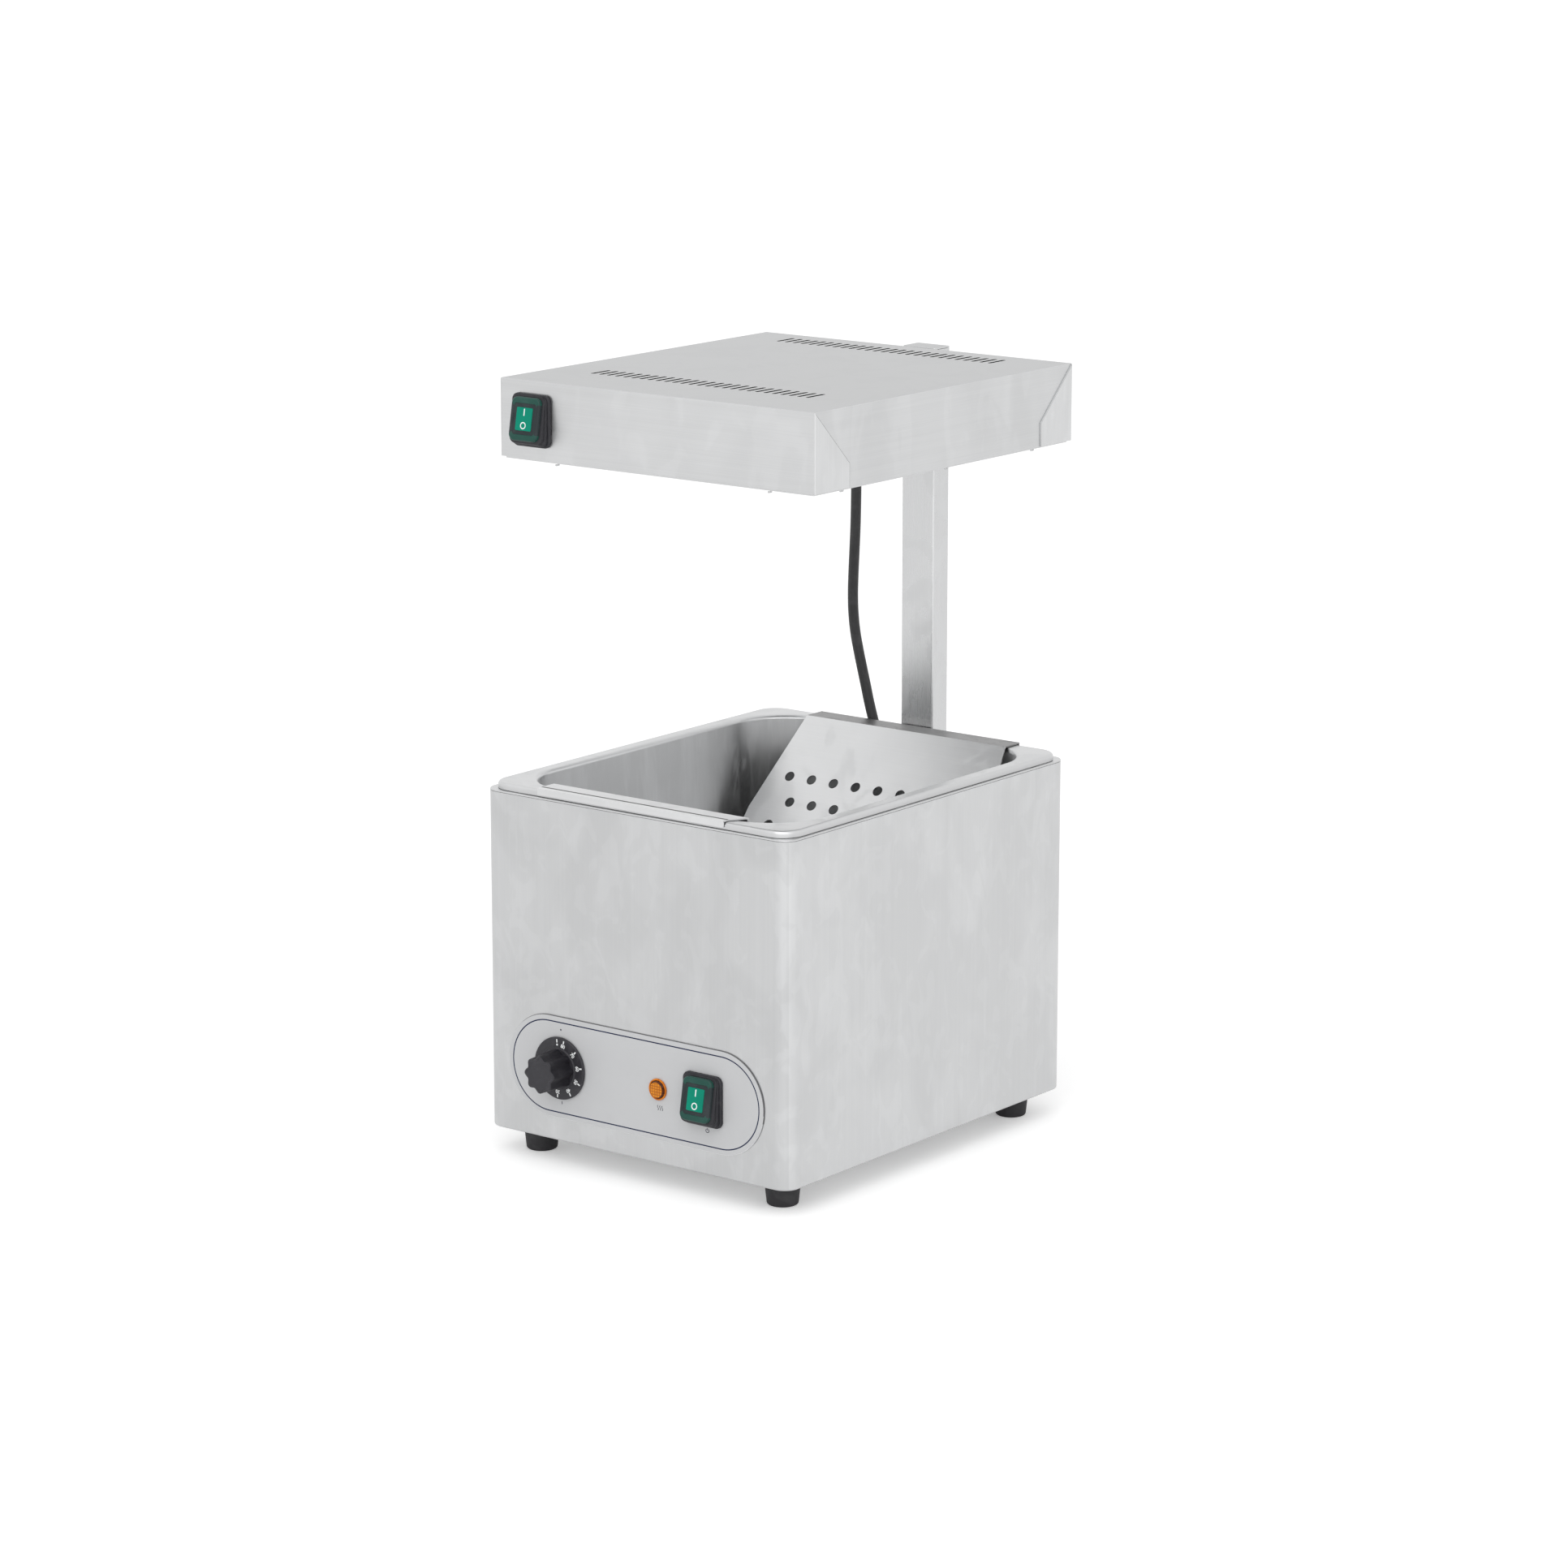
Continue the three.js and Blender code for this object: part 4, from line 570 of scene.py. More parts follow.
class Form:
    """Mesh in the making, with the few ways of shaping that this object needs."""

    def __init__(self) -> None:
        """Starts an empty form."""
        self.bm = bmesh.new()

    def box(self, low: Sequence[float], high: Sequence[float], edge: float = 0.0, steps: int = 2) -> None:
        """Adds a block between two corners.

        Args:
            low: its lowest corner.
            high: its highest corner.
            edge: radius of all its edges.
            steps: facets of each edge.
        """
        size = Vector(high) - Vector(low)
        place = Matrix.Translation((Vector(low) + Vector(high)) / 2) @ Matrix.Diagonal((*size, 1))
        verts = bmesh.ops.create_cube(self.bm, size=1, matrix=place)["verts"]
        if edge:
            self.bevel({rim for vert in verts for rim in vert.link_edges}, edge, steps)

    def plate(self, outline: Rounded, level: float, steps: int = CORNER_STEPS) -> bmesh.types.BMFace:
        """Adds a flat rounded face at a level and returns it."""
        before = set(self.bm.faces)
        scale = Matrix.Diagonal((outline.width, outline.depth, 1, 1))
        place = Matrix.Translation((outline.x, outline.y, level)) @ scale
        made = bmesh.ops.create_grid(self.bm, x_segments=1, y_segments=1, size=0.5, matrix=place)
        bmesh.ops.bevel(self.bm, geom=made["verts"], offset=outline.corner, affect="VERTICES", segments=steps,
                        profile=0.5, material=-1)
        return (set(self.bm.faces) - before).pop()

    def rings(self, stack: Sequence[tuple[Rounded, float]], steps: int = CORNER_STEPS,
              closed: bool = False) -> list[list[bmesh.types.BMEdge]]:
        """Adds a skin over a stack of rounded outlines.

        Args:
            stack: each outline and its level.
            steps: facets of each corner.
            closed: whether the last outline joins the first.

        Returns:
            The edges of each ring.
        """
        outline, level = stack[0]
        face = self.plate(outline, level, steps)
        loops = [list(face.edges)]
        bmesh.ops.delete(self.bm, geom=[face], context="FACES_ONLY")
        for after, height in [*stack[1:], *stack[:1 if closed else 0]]:
            made = bmesh.ops.extrude_edge_only(self.bm, edges=loops[-1])["geom"]
            ring = {item for item in made if isinstance(item, bmesh.types.BMVert)}
            for vert in ring:
                vert.co = (*after.matched(outline, vert.co), height)
            loops.append([item for item in made if isinstance(item, bmesh.types.BMEdge)
                          and ring.issuperset(item.verts)])
            outline = after
        if closed:
            last = loops.pop()
            seam = {vert for edge in loops[0] + last for vert in edge.verts}
            bmesh.ops.remove_doubles(self.bm, verts=list(seam), dist=WELD)
            loops[0] = [edge for edge in loops[0] + last if edge.is_valid]
        return loops

    def cap(self, loop: Iterable[bmesh.types.BMEdge]) -> None:
        """Closes a ring with one face."""
        bmesh.ops.contextual_create(self.bm, geom=list(loop))

    def bevel(self, edges: Iterable[bmesh.types.BMEdge], radius: float, steps: int = FOLD_STEPS) -> None:
        """Rounds edges with a radius in a number of facets."""
        bmesh.ops.bevel(self.bm, geom=list(edges), offset=radius, affect="EDGES", segments=steps, profile=0.5,
                        material=-1, clamp_overlap=True)

    def raised(self, outline: Rounded, low: float, high: float, edge: float = 0.0,
               steps: int = CORNER_STEPS) -> None:
        """Adds a closed rounded block.

        Args:
            outline: its plan.
            low: level of its back.
            high: level of its front.
            edge: radius of its front edge.
            steps: facets of each corner.
        """
        back, front = self.rings([(outline, low), (outline, high)], steps)
        self.cap(back)
        self.cap(front)
        if edge:
            self.bevel(front, edge, 4)

    def lathe(self, profile: Sequence[Triple], steps: int = ROUND_STEPS, closed: bool = False) -> None:
        """Adds a form turned about the upright axis.

        Args:
            profile: radius, level and rounding of each corner, from one end to the other.
            steps: facets of a full turn.
            closed: whether the last corner joins the first.
        """
        before = set(self.bm.verts)
        chain = [self.bm.verts.new((radius, 0, level)) for radius, level, _ in profile]
        after = chain[1:] + chain[:1] if closed else chain[1:]
        for here, there in zip(chain, after):
            self.bm.edges.new((here, there))
        for vert, (_, _, rounding) in zip(chain, profile):
            if rounding:
                bmesh.ops.bevel(self.bm, geom=[vert], offset=rounding, affect="VERTICES", segments=4,
                                profile=0.5, material=-1)
        verts = set(self.bm.verts) - before
        edges = {edge for vert in verts for edge in vert.link_edges}
        bmesh.ops.spin(self.bm, geom=[*verts, *edges], cent=(0, 0, 0), axis=(0, 0, 1), dvec=(0, 0, 0),
                       angle=FULL_TURN, steps=steps, use_merge=True)
        bmesh.ops.remove_doubles(self.bm, verts=self.bm.verts, dist=WELD)

    def rod(self, start: Sequence[float], end: Sequence[float], radius: float, steps: int = 16) -> None:
        """Adds a round bar between two points."""
        bmesh.ops.create_cone(self.bm, cap_ends=True, segments=steps, radius1=radius, radius2=radius,
                              depth=(Vector(end) - Vector(start)).length, matrix=spanning(start, end))

    def capsule(self, start: Sequence[float], end: Sequence[float], radius: float, steps: int = 12) -> None:
        """Adds a wire with rounded ends between two points."""
        wire = Form()
        half = (Vector(end) - Vector(start)).length / 2
        wire.lathe([(0, -half, 0), (radius, -half, 0.6 * radius), (radius, half, 0.6 * radius), (0, half, 0)],
                   steps)
        self.join(wire.move(spanning(start, end)))

    def coil(self, radius: float, wire: float, pitch: float, length: float) -> None:
        """Adds a coil of wire about the upright axis, its middle at the origin."""
        section = bmesh.ops.create_circle(self.bm, segments=5, radius=wire,
                                          matrix=Matrix.Rotation(QUARTER_TURN, 4, "X"))["verts"]
        bmesh.ops.translate(self.bm, vec=(radius, 0, -length / 2), verts=section)
        edges = {edge for vert in section for edge in vert.link_edges}
        turns = round(length / pitch)
        bmesh.ops.spin(self.bm, geom=[*section, *edges], cent=(0, 0, 0), axis=(0, 0, 1),
                       dvec=(0, 0, pitch / 12), angle=FULL_TURN * turns, steps=12 * turns)
        bmesh.ops.holes_fill(self.bm, edges=self.bm.edges)

    def arc(self, radius: float, width: float, low: float, high: float, start: float, sweep: float) -> None:
        """Adds a flat curved bar about the upright axis, from an angle on round a sweep."""
        inner, outer = radius - width / 2, radius + width / 2
        verts = [self.bm.verts.new(spot) for spot in ((inner, 0, low), (outer, 0, low), (outer, 0, high),
                                                      (inner, 0, high))]
        face = self.bm.faces.new(verts)
        bmesh.ops.rotate(self.bm, verts=verts, cent=(0, 0, 0), matrix=Matrix.Rotation(start, 3, "Z"))
        bmesh.ops.spin(self.bm, geom=[*verts, *face.edges, face], cent=(0, 0, 0), axis=(0, 0, 1),
                       dvec=(0, 0, 0), angle=sweep, steps=24)

    def fluted(self, stack: Sequence[Triple], flutes: int) -> None:
        """Adds a closed grip with rounded flutes.

        Args:
            stack: outer radius, level and depth of flute of each ring, from one end to the other.
            flutes: number of flutes.
        """
        ring = bmesh.ops.create_circle(self.bm, segments=24 * flutes, radius=1)["verts"]
        edges = list({edge for vert in ring for edge in vert.link_edges})
        ends = [edges]
        for number, (radius, level, depth) in enumerate(stack):
            if number:
                made = bmesh.ops.extrude_edge_only(self.bm, edges=edges)["geom"]
                ring = [item for item in made if isinstance(item, bmesh.types.BMVert)]
                edges = [item for item in made if isinstance(item, bmesh.types.BMEdge)
                         and set(ring).issuperset(item.verts)]
            for vert in ring:
                wave = 1 - math.cos(math.atan2(vert.co.y, vert.co.x) * flutes)
                vert.co.xy = vert.co.xy.normalized() * (radius - depth * wave / 2)
                vert.co.z = level
        for end in (*ends, edges):
            self.cap(end)

    def join(self, other: "Form") -> None:
        """Adds another form to this one, and frees the other."""
        mesh = other.mesh("joined")
        self.bm.from_mesh(mesh)
        bpy.data.meshes.remove(mesh)

    def prism(self, outline: Sequence[tuple[float, float]], low: float, high: float) -> None:
        """Adds a flat outline raised from one level to another."""
        face = self.bm.faces.new([self.bm.verts.new((x, y, low)) for x, y in outline])
        made = bmesh.ops.extrude_face_region(self.bm, geom=[face])["geom"]
        verts = [item for item in made if isinstance(item, bmesh.types.BMVert)]
        bmesh.ops.translate(self.bm, vec=(0, 0, high - low), verts=verts)

    def strip(self, line: Sequence[tuple[float, float, float]], fold: float) -> None:
        """Adds an open sheet bent along a side line, centred on x.

        Args:
            line: depth, height and half width at each fold, from one end to the other.
            fold: radius of the folds.
        """
        chain = [self.bm.verts.new((-half, depth, height)) for depth, height, half in line]
        edges = [self.bm.edges.new(pair) for pair in zip(chain, chain[1:])]
        made = bmesh.ops.extrude_edge_only(self.bm, edges=edges)["geom"]
        for vert in (item for item in made if isinstance(item, bmesh.types.BMVert)):
            vert.co.x = -vert.co.x
        joints = [edge for edge in self.bm.edges if len(edge.link_faces) == 2]
        self.bevel([edge for edge in joints if edge.calc_face_angle() > 0.05], fold, FOLD_STEPS)

    def move(self, place: Matrix) -> "Form":
        """Moves and turns the whole form, and returns it."""
        bmesh.ops.transform(self.bm, matrix=place, verts=self.bm.verts)
        return self

    def outward(self) -> "Form":
        """Turns the faces of a closed form outward, and returns the form."""
        bmesh.ops.recalc_face_normals(self.bm, faces=self.bm.faces)
        return self

    def face_to(self, way: Vector) -> "Form":
        """Turns an open sheet over where most of its area looks away from a way, and returns the form."""
        self.outward()
        if sum(face.calc_area() * face.normal.dot(way) for face in self.bm.faces) < 0:
            bmesh.ops.reverse_faces(self.bm, faces=self.bm.faces)
        return self

    def paint(self, index: int, chosen: Callable[[bmesh.types.BMFace], bool]) -> "Form":
        """Gives the faces that a test picks another finish of the piece, and returns the form."""
        self.bm.normal_update()
        for face in self.bm.faces:
            if chosen(face):
                face.material_index = index
        return self

    def mesh(self, name: str) -> bpy.types.Mesh:
        """Returns the finished form as a mesh, and frees the form."""
        made = bpy.data.meshes.new(name)
        self.bm.to_mesh(made)
        self.bm.free()
        return made


def lettering(text: str, size: float, depth: float) -> Form:
    """Returns a form of raised text, centred on the origin and as deep below its plane as above."""
    curve = bpy.data.curves.new("lettering", "FONT")
    curve.body = text
    curve.size = size
    curve.extrude = depth
    curve.offset = 0.03 * size
    curve.align_x = curve.align_y = "CENTER"
    holder = bpy.data.objects.new("lettering", curve)
    bpy.context.scene.collection.objects.link(holder)
    form = Form()
    mesh = bpy.data.meshes.new_from_object(holder)
    form.bm.from_mesh(mesh)
    bpy.data.meshes.remove(mesh)
    bpy.data.objects.remove(holder)
    return form


def bent_tube(name: str, points: Sequence[Triple], radius: float) -> bpy.types.Object:
    """Makes a round tube along a line of points and returns its object, with no finish yet."""
    line = bpy.data.curves.new(name, "CURVE")
    line.dimensions = "3D"
    line.bevel_depth = radius
    line.bevel_resolution = 4
    line.use_fill_caps = True
    spline = line.splines.new("POLY")
    spline.points.add(len(points) - 1)
    for knot, place in zip(spline.points, points):
        knot.co = (*place, 1)
    holder = bpy.data.objects.new(f"{name}_line", line)
    bpy.context.scene.collection.objects.link(holder)
    mesh = bpy.data.meshes.new_from_object(holder)
    bpy.data.objects.remove(holder)
    return new_object(name, mesh)


def new_object(name: str, mesh: bpy.types.Mesh) -> bpy.types.Object:
    """Makes an object of a mesh in the scene and returns it."""
    made = bpy.data.objects.new(name, mesh)
    bpy.context.scene.collection.objects.link(made)
    return made


def settle(piece: bpy.types.Object) -> None:
    """Applies a piece's modifiers to its mesh."""
    depsgraph = bpy.context.evaluated_depsgraph_get()
    shaped = bpy.data.meshes.new_from_object(piece.evaluated_get(depsgraph), depsgraph=depsgraph)
    piece.modifiers.clear()
    piece.data = shaped


def thicken(piece: bpy.types.Object, sheet: float, shaded_inside: bool) -> None:
    """Gives an open sheet its thickness, on the side away from its faces.

    Args:
        piece: the sheet.
        sheet: its thickness.
        shaded_inside: whether the inner side has the piece's last finish, which paints shade inside the
            sheet.
    """
    wall = piece.modifiers.new("sheet", "SOLIDIFY")
    wall.thickness = sheet
    wall.material_offset = len(piece.data.materials) if shaded_inside else 0
    wall.offset = -1
    wall.use_even_offset = True
    settle(piece)


def cut(piece: bpy.types.Object, cutter: Form) -> None:
    """Cuts a form out of a piece."""
    tool = new_object("cutter", cutter.outward().mesh("cutter"))
    hole = piece.modifiers.new("hole", "BOOLEAN")
    hole.operation = "DIFFERENCE"
    hole.solver = "EXACT"
    hole.object = tool
    settle(piece)
    bpy.data.objects.remove(tool)


def dress(piece: bpy.types.Object, finishes: Sequence[Finish], replaced: Sequence[str] = (),
          body: Body | None = Body.STATION) -> bpy.types.Object:
    """Shades a piece, gives it its finishes and its body, and hides the CAD nodes that it stands for.

    Args:
        piece: the piece, whose mesh is final.
        finishes: its finishes, in the order of its painted faces.
        replaced: CAD nodes that the piece stands for.
        body: body that it rides on, or None where it is blended between two.

    Returns:
        The piece.
    """
    while len(piece.data.materials) < len(finishes):
        piece.data.materials.append(None)
    for number, finish in enumerate(finishes):
        piece.data.materials[number] = material_of(finish)
    piece.data.shade_smooth()
    piece.data.set_sharp_from_angle(angle=SHARP_ANGLE)
    weighted = piece.modifiers.new("weighted_normals", "WEIGHTED_NORMAL")
    weighted.keep_sharp = True
    if body:
        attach(piece, body.value)
    if replaced:
        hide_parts(*replaced)
    return piece


def make_piece(name: str, form: Form, finishes: Sequence[Finish], replaced: Sequence[str] = (),
               body: Body | None = Body.STATION, sheet: float = 0.0, cutter: Form | None = None,
               shaded_inside: bool = False) -> bpy.types.Object:
    """Makes a finished piece of a form.

    Args:
        name: name of the piece.
        form: its form, in place.
        finishes: its finishes, in the order of the form's painted faces.
        replaced: CAD nodes that the piece stands for.
        body: body that it rides on, or None where it is blended between two.
        sheet: wall thickness of an open sheet, which is turned the right way already.
        cutter: form to cut out of it.
        shaded_inside: whether an open sheet's inner side has the last finish, which paints shade inside it.

    Returns:
        The piece.
    """
    bmesh.ops.remove_doubles(form.bm, verts=form.bm.verts, dist=WELD)
    if not sheet:
        form.outward()
    piece = new_object(name, form.mesh(name))
    for _ in finishes:
        piece.data.materials.append(None)
    if sheet:
        thicken(piece, sheet, shaded_inside)
    if cutter:
        cut(piece, cutter)
    return dress(piece, finishes, replaced, body)


def refined(node: str, finish: Finish, edge: float,
            body: Body = Body.STATION) -> bpy.types.Object:
    """Makes a piece of a CAD node's own shape, welded and with its edges rounded.

    Args:
        node: the CAD node, which the piece replaces.
        finish: the piece's finish.
        edge: radius of its edges.
        body: body that it rides on.

    Returns:
        The piece.
    """
    form = Form()
    form.bm.from_mesh(frame["nodes"][node].data)
    bmesh.ops.remove_doubles(form.bm, verts=form.bm.verts, dist=WELD)
    bmesh.ops.dissolve_limit(form.bm, angle_limit=math.radians(1), verts=form.bm.verts, edges=form.bm.edges)
    folds = [rim for rim in form.bm.edges if len(rim.link_faces) == 2]
    if edge:
        form.bevel([rim for rim in folds if rim.calc_face_angle() > SHARP_ANGLE], edge, 2)
    return make_piece(f"{node}_piece", form, [finish], [node], body)


@dataclass(frozen=True)
class Screw:
    """Pan-head screw that is driven up from below, with a cross recess."""

    node: str
    seat: Triple
    head_radius: float
    head_height: float
    shank_radius: float
    shank_length: float

    def build(self) -> bpy.types.Object:
        """Makes the screw."""
        form = Form()
        low = -self.head_height
        form.lathe([
            (0, low, 0),
            (0.62 * self.head_radius, low, 0.3 * self.head_radius),
            (self.head_radius, 0.45 * low, 0.25 * self.head_radius),
            (self.head_radius, 0, 0),
            (self.shank_radius, 0, 0),
            (self.shank_radius, self.shank_length - self.shank_radius / 2, 0),
            (0.5 * self.shank_radius, self.shank_length, 0),
            (0, self.shank_length, 0),
        ], 24)
        recess = Form()
        long, short = 0.6 * self.head_radius, 0.13 * self.head_radius
        deep = 0.5 * low
        recess.box((-long, -short, 2 * low), (long, short, deep))
        recess.box((-short, -long, 2 * low), (short, -short, deep))
        recess.box((-short, short, 2 * low), (short, long, deep))
        for shape in (form, recess):
            shape.move(Matrix.Translation(self.seat))
        return make_piece(f"{self.node}_piece", form, [SCREW_STEEL], [self.node], cutter=recess)


@dataclass(frozen=True)
class Casing:
    """Folded steel box on its rubber feet, with a deck over it and a plate under it."""

    outline: Rounded = Rounded(270 * MM, 330 * MM, 12 * MM)
    lip: Rounded = Rounded(186 * MM, 246 * MM, 6 * MM)
    opening: Rounded = Rounded(247 * MM, 307 * MM, 47 * MM)
    bottom: float = 19 * MM
    top: float = 265 * MM
    sheet: float = 1 * MM
    seam: float = 0.3 * MM
    fold: float = 1.6 * MM
    skirt: float = 10 * MM
    foot_x: float = 108.5 * MM
    foot_y: float = 136.5 * MM
    foot_top: float = 18.7 * MM
    foot_radii: tuple[float, float] = (11 * MM, 13 * MM)
    foot_recess: tuple[float, float] = (6.5 * MM, 10 * MM)
    foot_bore: float = 2.8 * MM
    foot_screw_seat: float = 9.7 * MM
    control_level: float = 73.25 * MM
    front_holes: tuple[tuple[float, float], ...] = ((-65.3 * MM, 3.6 * MM), (22.7 * MM, 6.2 * MM))
    switch_x: float = 63.1 * MM
    rear_holes: tuple[Triple, ...] = (
        (0.0, 92 * MM, 4.2 * MM),
        (0.0, 222 * MM, 4.2 * MM),
        (-38.5 * MM, 203 * MM, 5.8 * MM),
        (92 * MM, 61 * MM, 9.3 * MM),
    )

    def holes(self) -> Form:
        """Returns the form that is cut out of the shell for what passes through its walls."""
        form = Form()
        front = -self.outline.depth / 2
        reach = 3 * self.sheet
        level = self.control_level
        for x, radius in self.front_holes:
            form.rod((x, front - reach, level), (x, front + reach, level), radius, 32)
        half, tall = SWITCH_HOLE_HALF
        form.box((self.switch_x - half, front - reach, level - tall),
                 (self.switch_x + half, front + reach, level + tall))
        for x, z, radius in self.rear_holes:
            form.rod((x, -front - reach, z), (x, -front + reach, z), radius, 32)
        for x, y in self.feet():
            form.rod((x, y, self.bottom - reach), (x, y, self.bottom + reach), self.foot_bore, 16)
        return form

    def feet(self) -> list[tuple[float, float]]:
        """Returns the places of the feet, in the order of their names."""
        return [(side * self.foot_x, way * self.foot_y) for way in (-1, 1) for side in (-1, 1)]

    def shell(self) -> bpy.types.Object:
        """Makes the walls, folded from one sheet with a lip under the box."""
        form = Form()
        top = self.top - self.sheet - self.seam
        stack = [(self.lip, self.bottom), (self.outline, self.bottom), (self.outline, top)]
        form.bevel(form.rings(stack, 14)[1], self.fold)
        form.face_to(Vector((0, 0, -1)))
        # Faces looking right get the lighter copy: painted light on the side wall.
        form.paint(1, lambda face: face.normal.x > 0.75)
        return make_piece("casing_walls", form, [CASING_STEEL, CASING_LIT_SIDE_STEEL],
                          ["casing_shell"], sheet=self.sheet, cutter=self.holes())

    def deck(self) -> bpy.types.Object:
        """Makes the top sheet with its opening, and the skirt that holds it in the walls."""
        form = Form()
        under = self.top - self.sheet
        outer = self.outline.inset(self.sheet + self.seam)
        inner = outer.inset(self.sheet)
        loops = form.rings([
            (self.opening, self.top),
            (self.outline, self.top),
            (self.outline, under),
            (outer, under),
            (outer, under - self.skirt),
            (inner, under - self.skirt),
            (inner, under),
            (self.opening, under),
        ], 14, closed=True)
        form.bevel(loops[1], 0.4 * MM, 3)
        form.bevel(loops[0], 0.4 * MM, 3)
        return make_piece("deck_sheet", form, [DECK_STEEL], ["casing_deck"])

    def foot(self, name: str, x: float, y: float) -> bpy.types.Object:
        """Makes one tapered foot with a recess for its screw."""
        form = Form()
        base_radius, top_radius = self.foot_radii
        recess_radius, recess_top = self.foot_recess
        form.lathe([
            (recess_radius, 0, 0.4 * MM),
            (base_radius, 0, 1.7 * MM),
            (top_radius, self.foot_top, 0.7 * MM),
            (self.foot_bore, self.foot_top, 0),
            (self.foot_bore, recess_top, 0),
            (recess_radius, recess_top, 0.4 * MM),
        ], closed=True)
        form.move(Matrix.Translation((x, y, 0)))
        return make_piece(f"rubber_{name}", form, [RUBBER], [name])

    def build(self) -> list[bpy.types.Object]:
        """Returns the casing's pieces."""
        made = [self.shell(), self.deck(), refined("base_plate", ZINC_STEEL, 0.25 * MM)]
        for place, (x, y) in zip(("front_left", "front_right", "rear_left", "rear_right"), self.feet()):
            made.append(self.foot(f"foot_{place}", x, y))
            screw = Screw(f"foot_screw_{place}", (x, y, self.foot_screw_seat), head_radius=4.8 * MM,
                          head_height=3.2 * MM, shank_radius=2.5 * MM, shank_length=16.3 * MM)
            made.append(screw.build())
        return made


@dataclass(frozen=True)
class Well:
    """Thin tray that the pan hangs in, with the tubular element on its floor."""

    opening: Rounded = Rounded(247 * MM, 307 * MM, 47 * MM)
    flange: float = 6 * MM
    top: float = 263.7 * MM
    floor: float = 103 * MM
    sheet: float = 0.8 * MM
    tube: float = 3.25 * MM
    legs: tuple[float, ...] = (-75 * MM, -25 * MM, 25 * MM, 75 * MM)
    leg_reach: float = 95 * MM
    tube_level: float = 111 * MM
    tail_bend: float = 8 * MM
    tail_end: float = 79 * MM

    def tray(self) -> bpy.types.Object:
        """Makes the tray."""
        form = Form()
        flange = self.opening.inset(-self.flange)
        stack = [(flange, self.top), (self.opening, self.top), (self.opening, self.floor)]
        _, mouth, foot = form.rings(stack, 14)
        form.cap(foot)
        form.bevel(foot, 4 * MM)
        form.bevel(mouth, 1 * MM, 3)
        form.face_to(Vector((0, 0, 1)))
        holes = Form()
        tail_y = self.leg_reach + self.tail_bend
        low, high = self.floor - 5 * MM, self.floor + 2 * MM
        for x in (self.legs[0], self.legs[-1]):
            holes.rod((x, tail_y, low), (x, tail_y, high), self.tube + 0.3 * MM)
        return make_piece("well_tray", form, [ZINC_STEEL], ["heating_well"], sheet=self.sheet,
                          cutter=holes)

    def line(self) -> list[Triple]:
        """Returns the element's centre line: four legs joined by half circles, with both ends bent down."""
        bend = (self.legs[1] - self.legs[0]) / 2
        low = self.tube_level - self.tail_bend

        def tail(x: float) -> list[Triple]:
            turn = [QUARTER_TURN * step / 6 for step in range(7)]
            arc = [(x, self.leg_reach + self.tail_bend * math.cos(a), low + self.tail_bend * math.sin(a))
                   for a in turn]
            return [(x, self.leg_reach + self.tail_bend, self.tail_end), *arc]

        points = tail(self.legs[0])
        for number, x in enumerate(self.legs[:-1]):
            way = 1 if number % 2 else -1
            for step in range(17):
                angle = math.pi * step / 16
                across = x + bend - bend * math.cos(angle)
                along = way * (self.leg_reach - bend + bend * math.sin(angle))
                points.append((across, along, self.tube_level))
        return points + tail(self.legs[-1])[::-1]

    def build(self) -> list[bpy.types.Object]:
        """Returns the well's pieces."""
        tube = bent_tube("element_tube", self.line(), self.tube)
        return [
            self.tray(),
            dress(tube, [ELEMENT_STEEL], ["heating_element"]),
            refined("element_bracket", ZINC_STEEL, 0.5 * MM),
        ]


@dataclass(frozen=True)
class Pan:
    """Pressed gastronorm pan with drafted walls and a flat rim with a rolled lip."""

    rim: Rounded = Rounded(265 * MM, 325 * MM, 17 * MM)
    mouth: Rounded = Rounded(241 * MM, 301 * MM, 44 * MM)
    skirt_end: float = 265.3 * MM
    top: float = 270 * MM
    floor: float = 120 * MM
    draft: float = 7.5 * MM
    lip_round: float = 2.5 * MM
    mouth_round: float = 3 * MM
    floor_round: float = 14 * MM
    sheet: float = 1 * MM

    def build(self) -> list[bpy.types.Object]:
        """Returns the pan."""
        form = Form()
        stack = [
            (self.rim, self.skirt_end),
            (self.rim, self.top),
            (self.mouth, self.top),
            (self.mouth.inset(self.draft), self.floor),
        ]
        _, lip, mouth, floor = form.rings(stack, 16)
        form.cap(floor)
        form.bevel(floor, self.floor_round, 10)
        form.bevel(lip, self.lip_round, 6)
        form.bevel(mouth, self.mouth_round, 5)
        form.face_to(Vector((0, 0, 1)))
        form.paint(1, lambda face: face.calc_center_median().z > self.top - 1.2 * self.mouth_round)
        finishes = [PAN_STEEL, RIM_STEEL]
        return [make_piece("pressed_pan", form, finishes, ["gn_pan"], Body.PAN, self.sheet)]


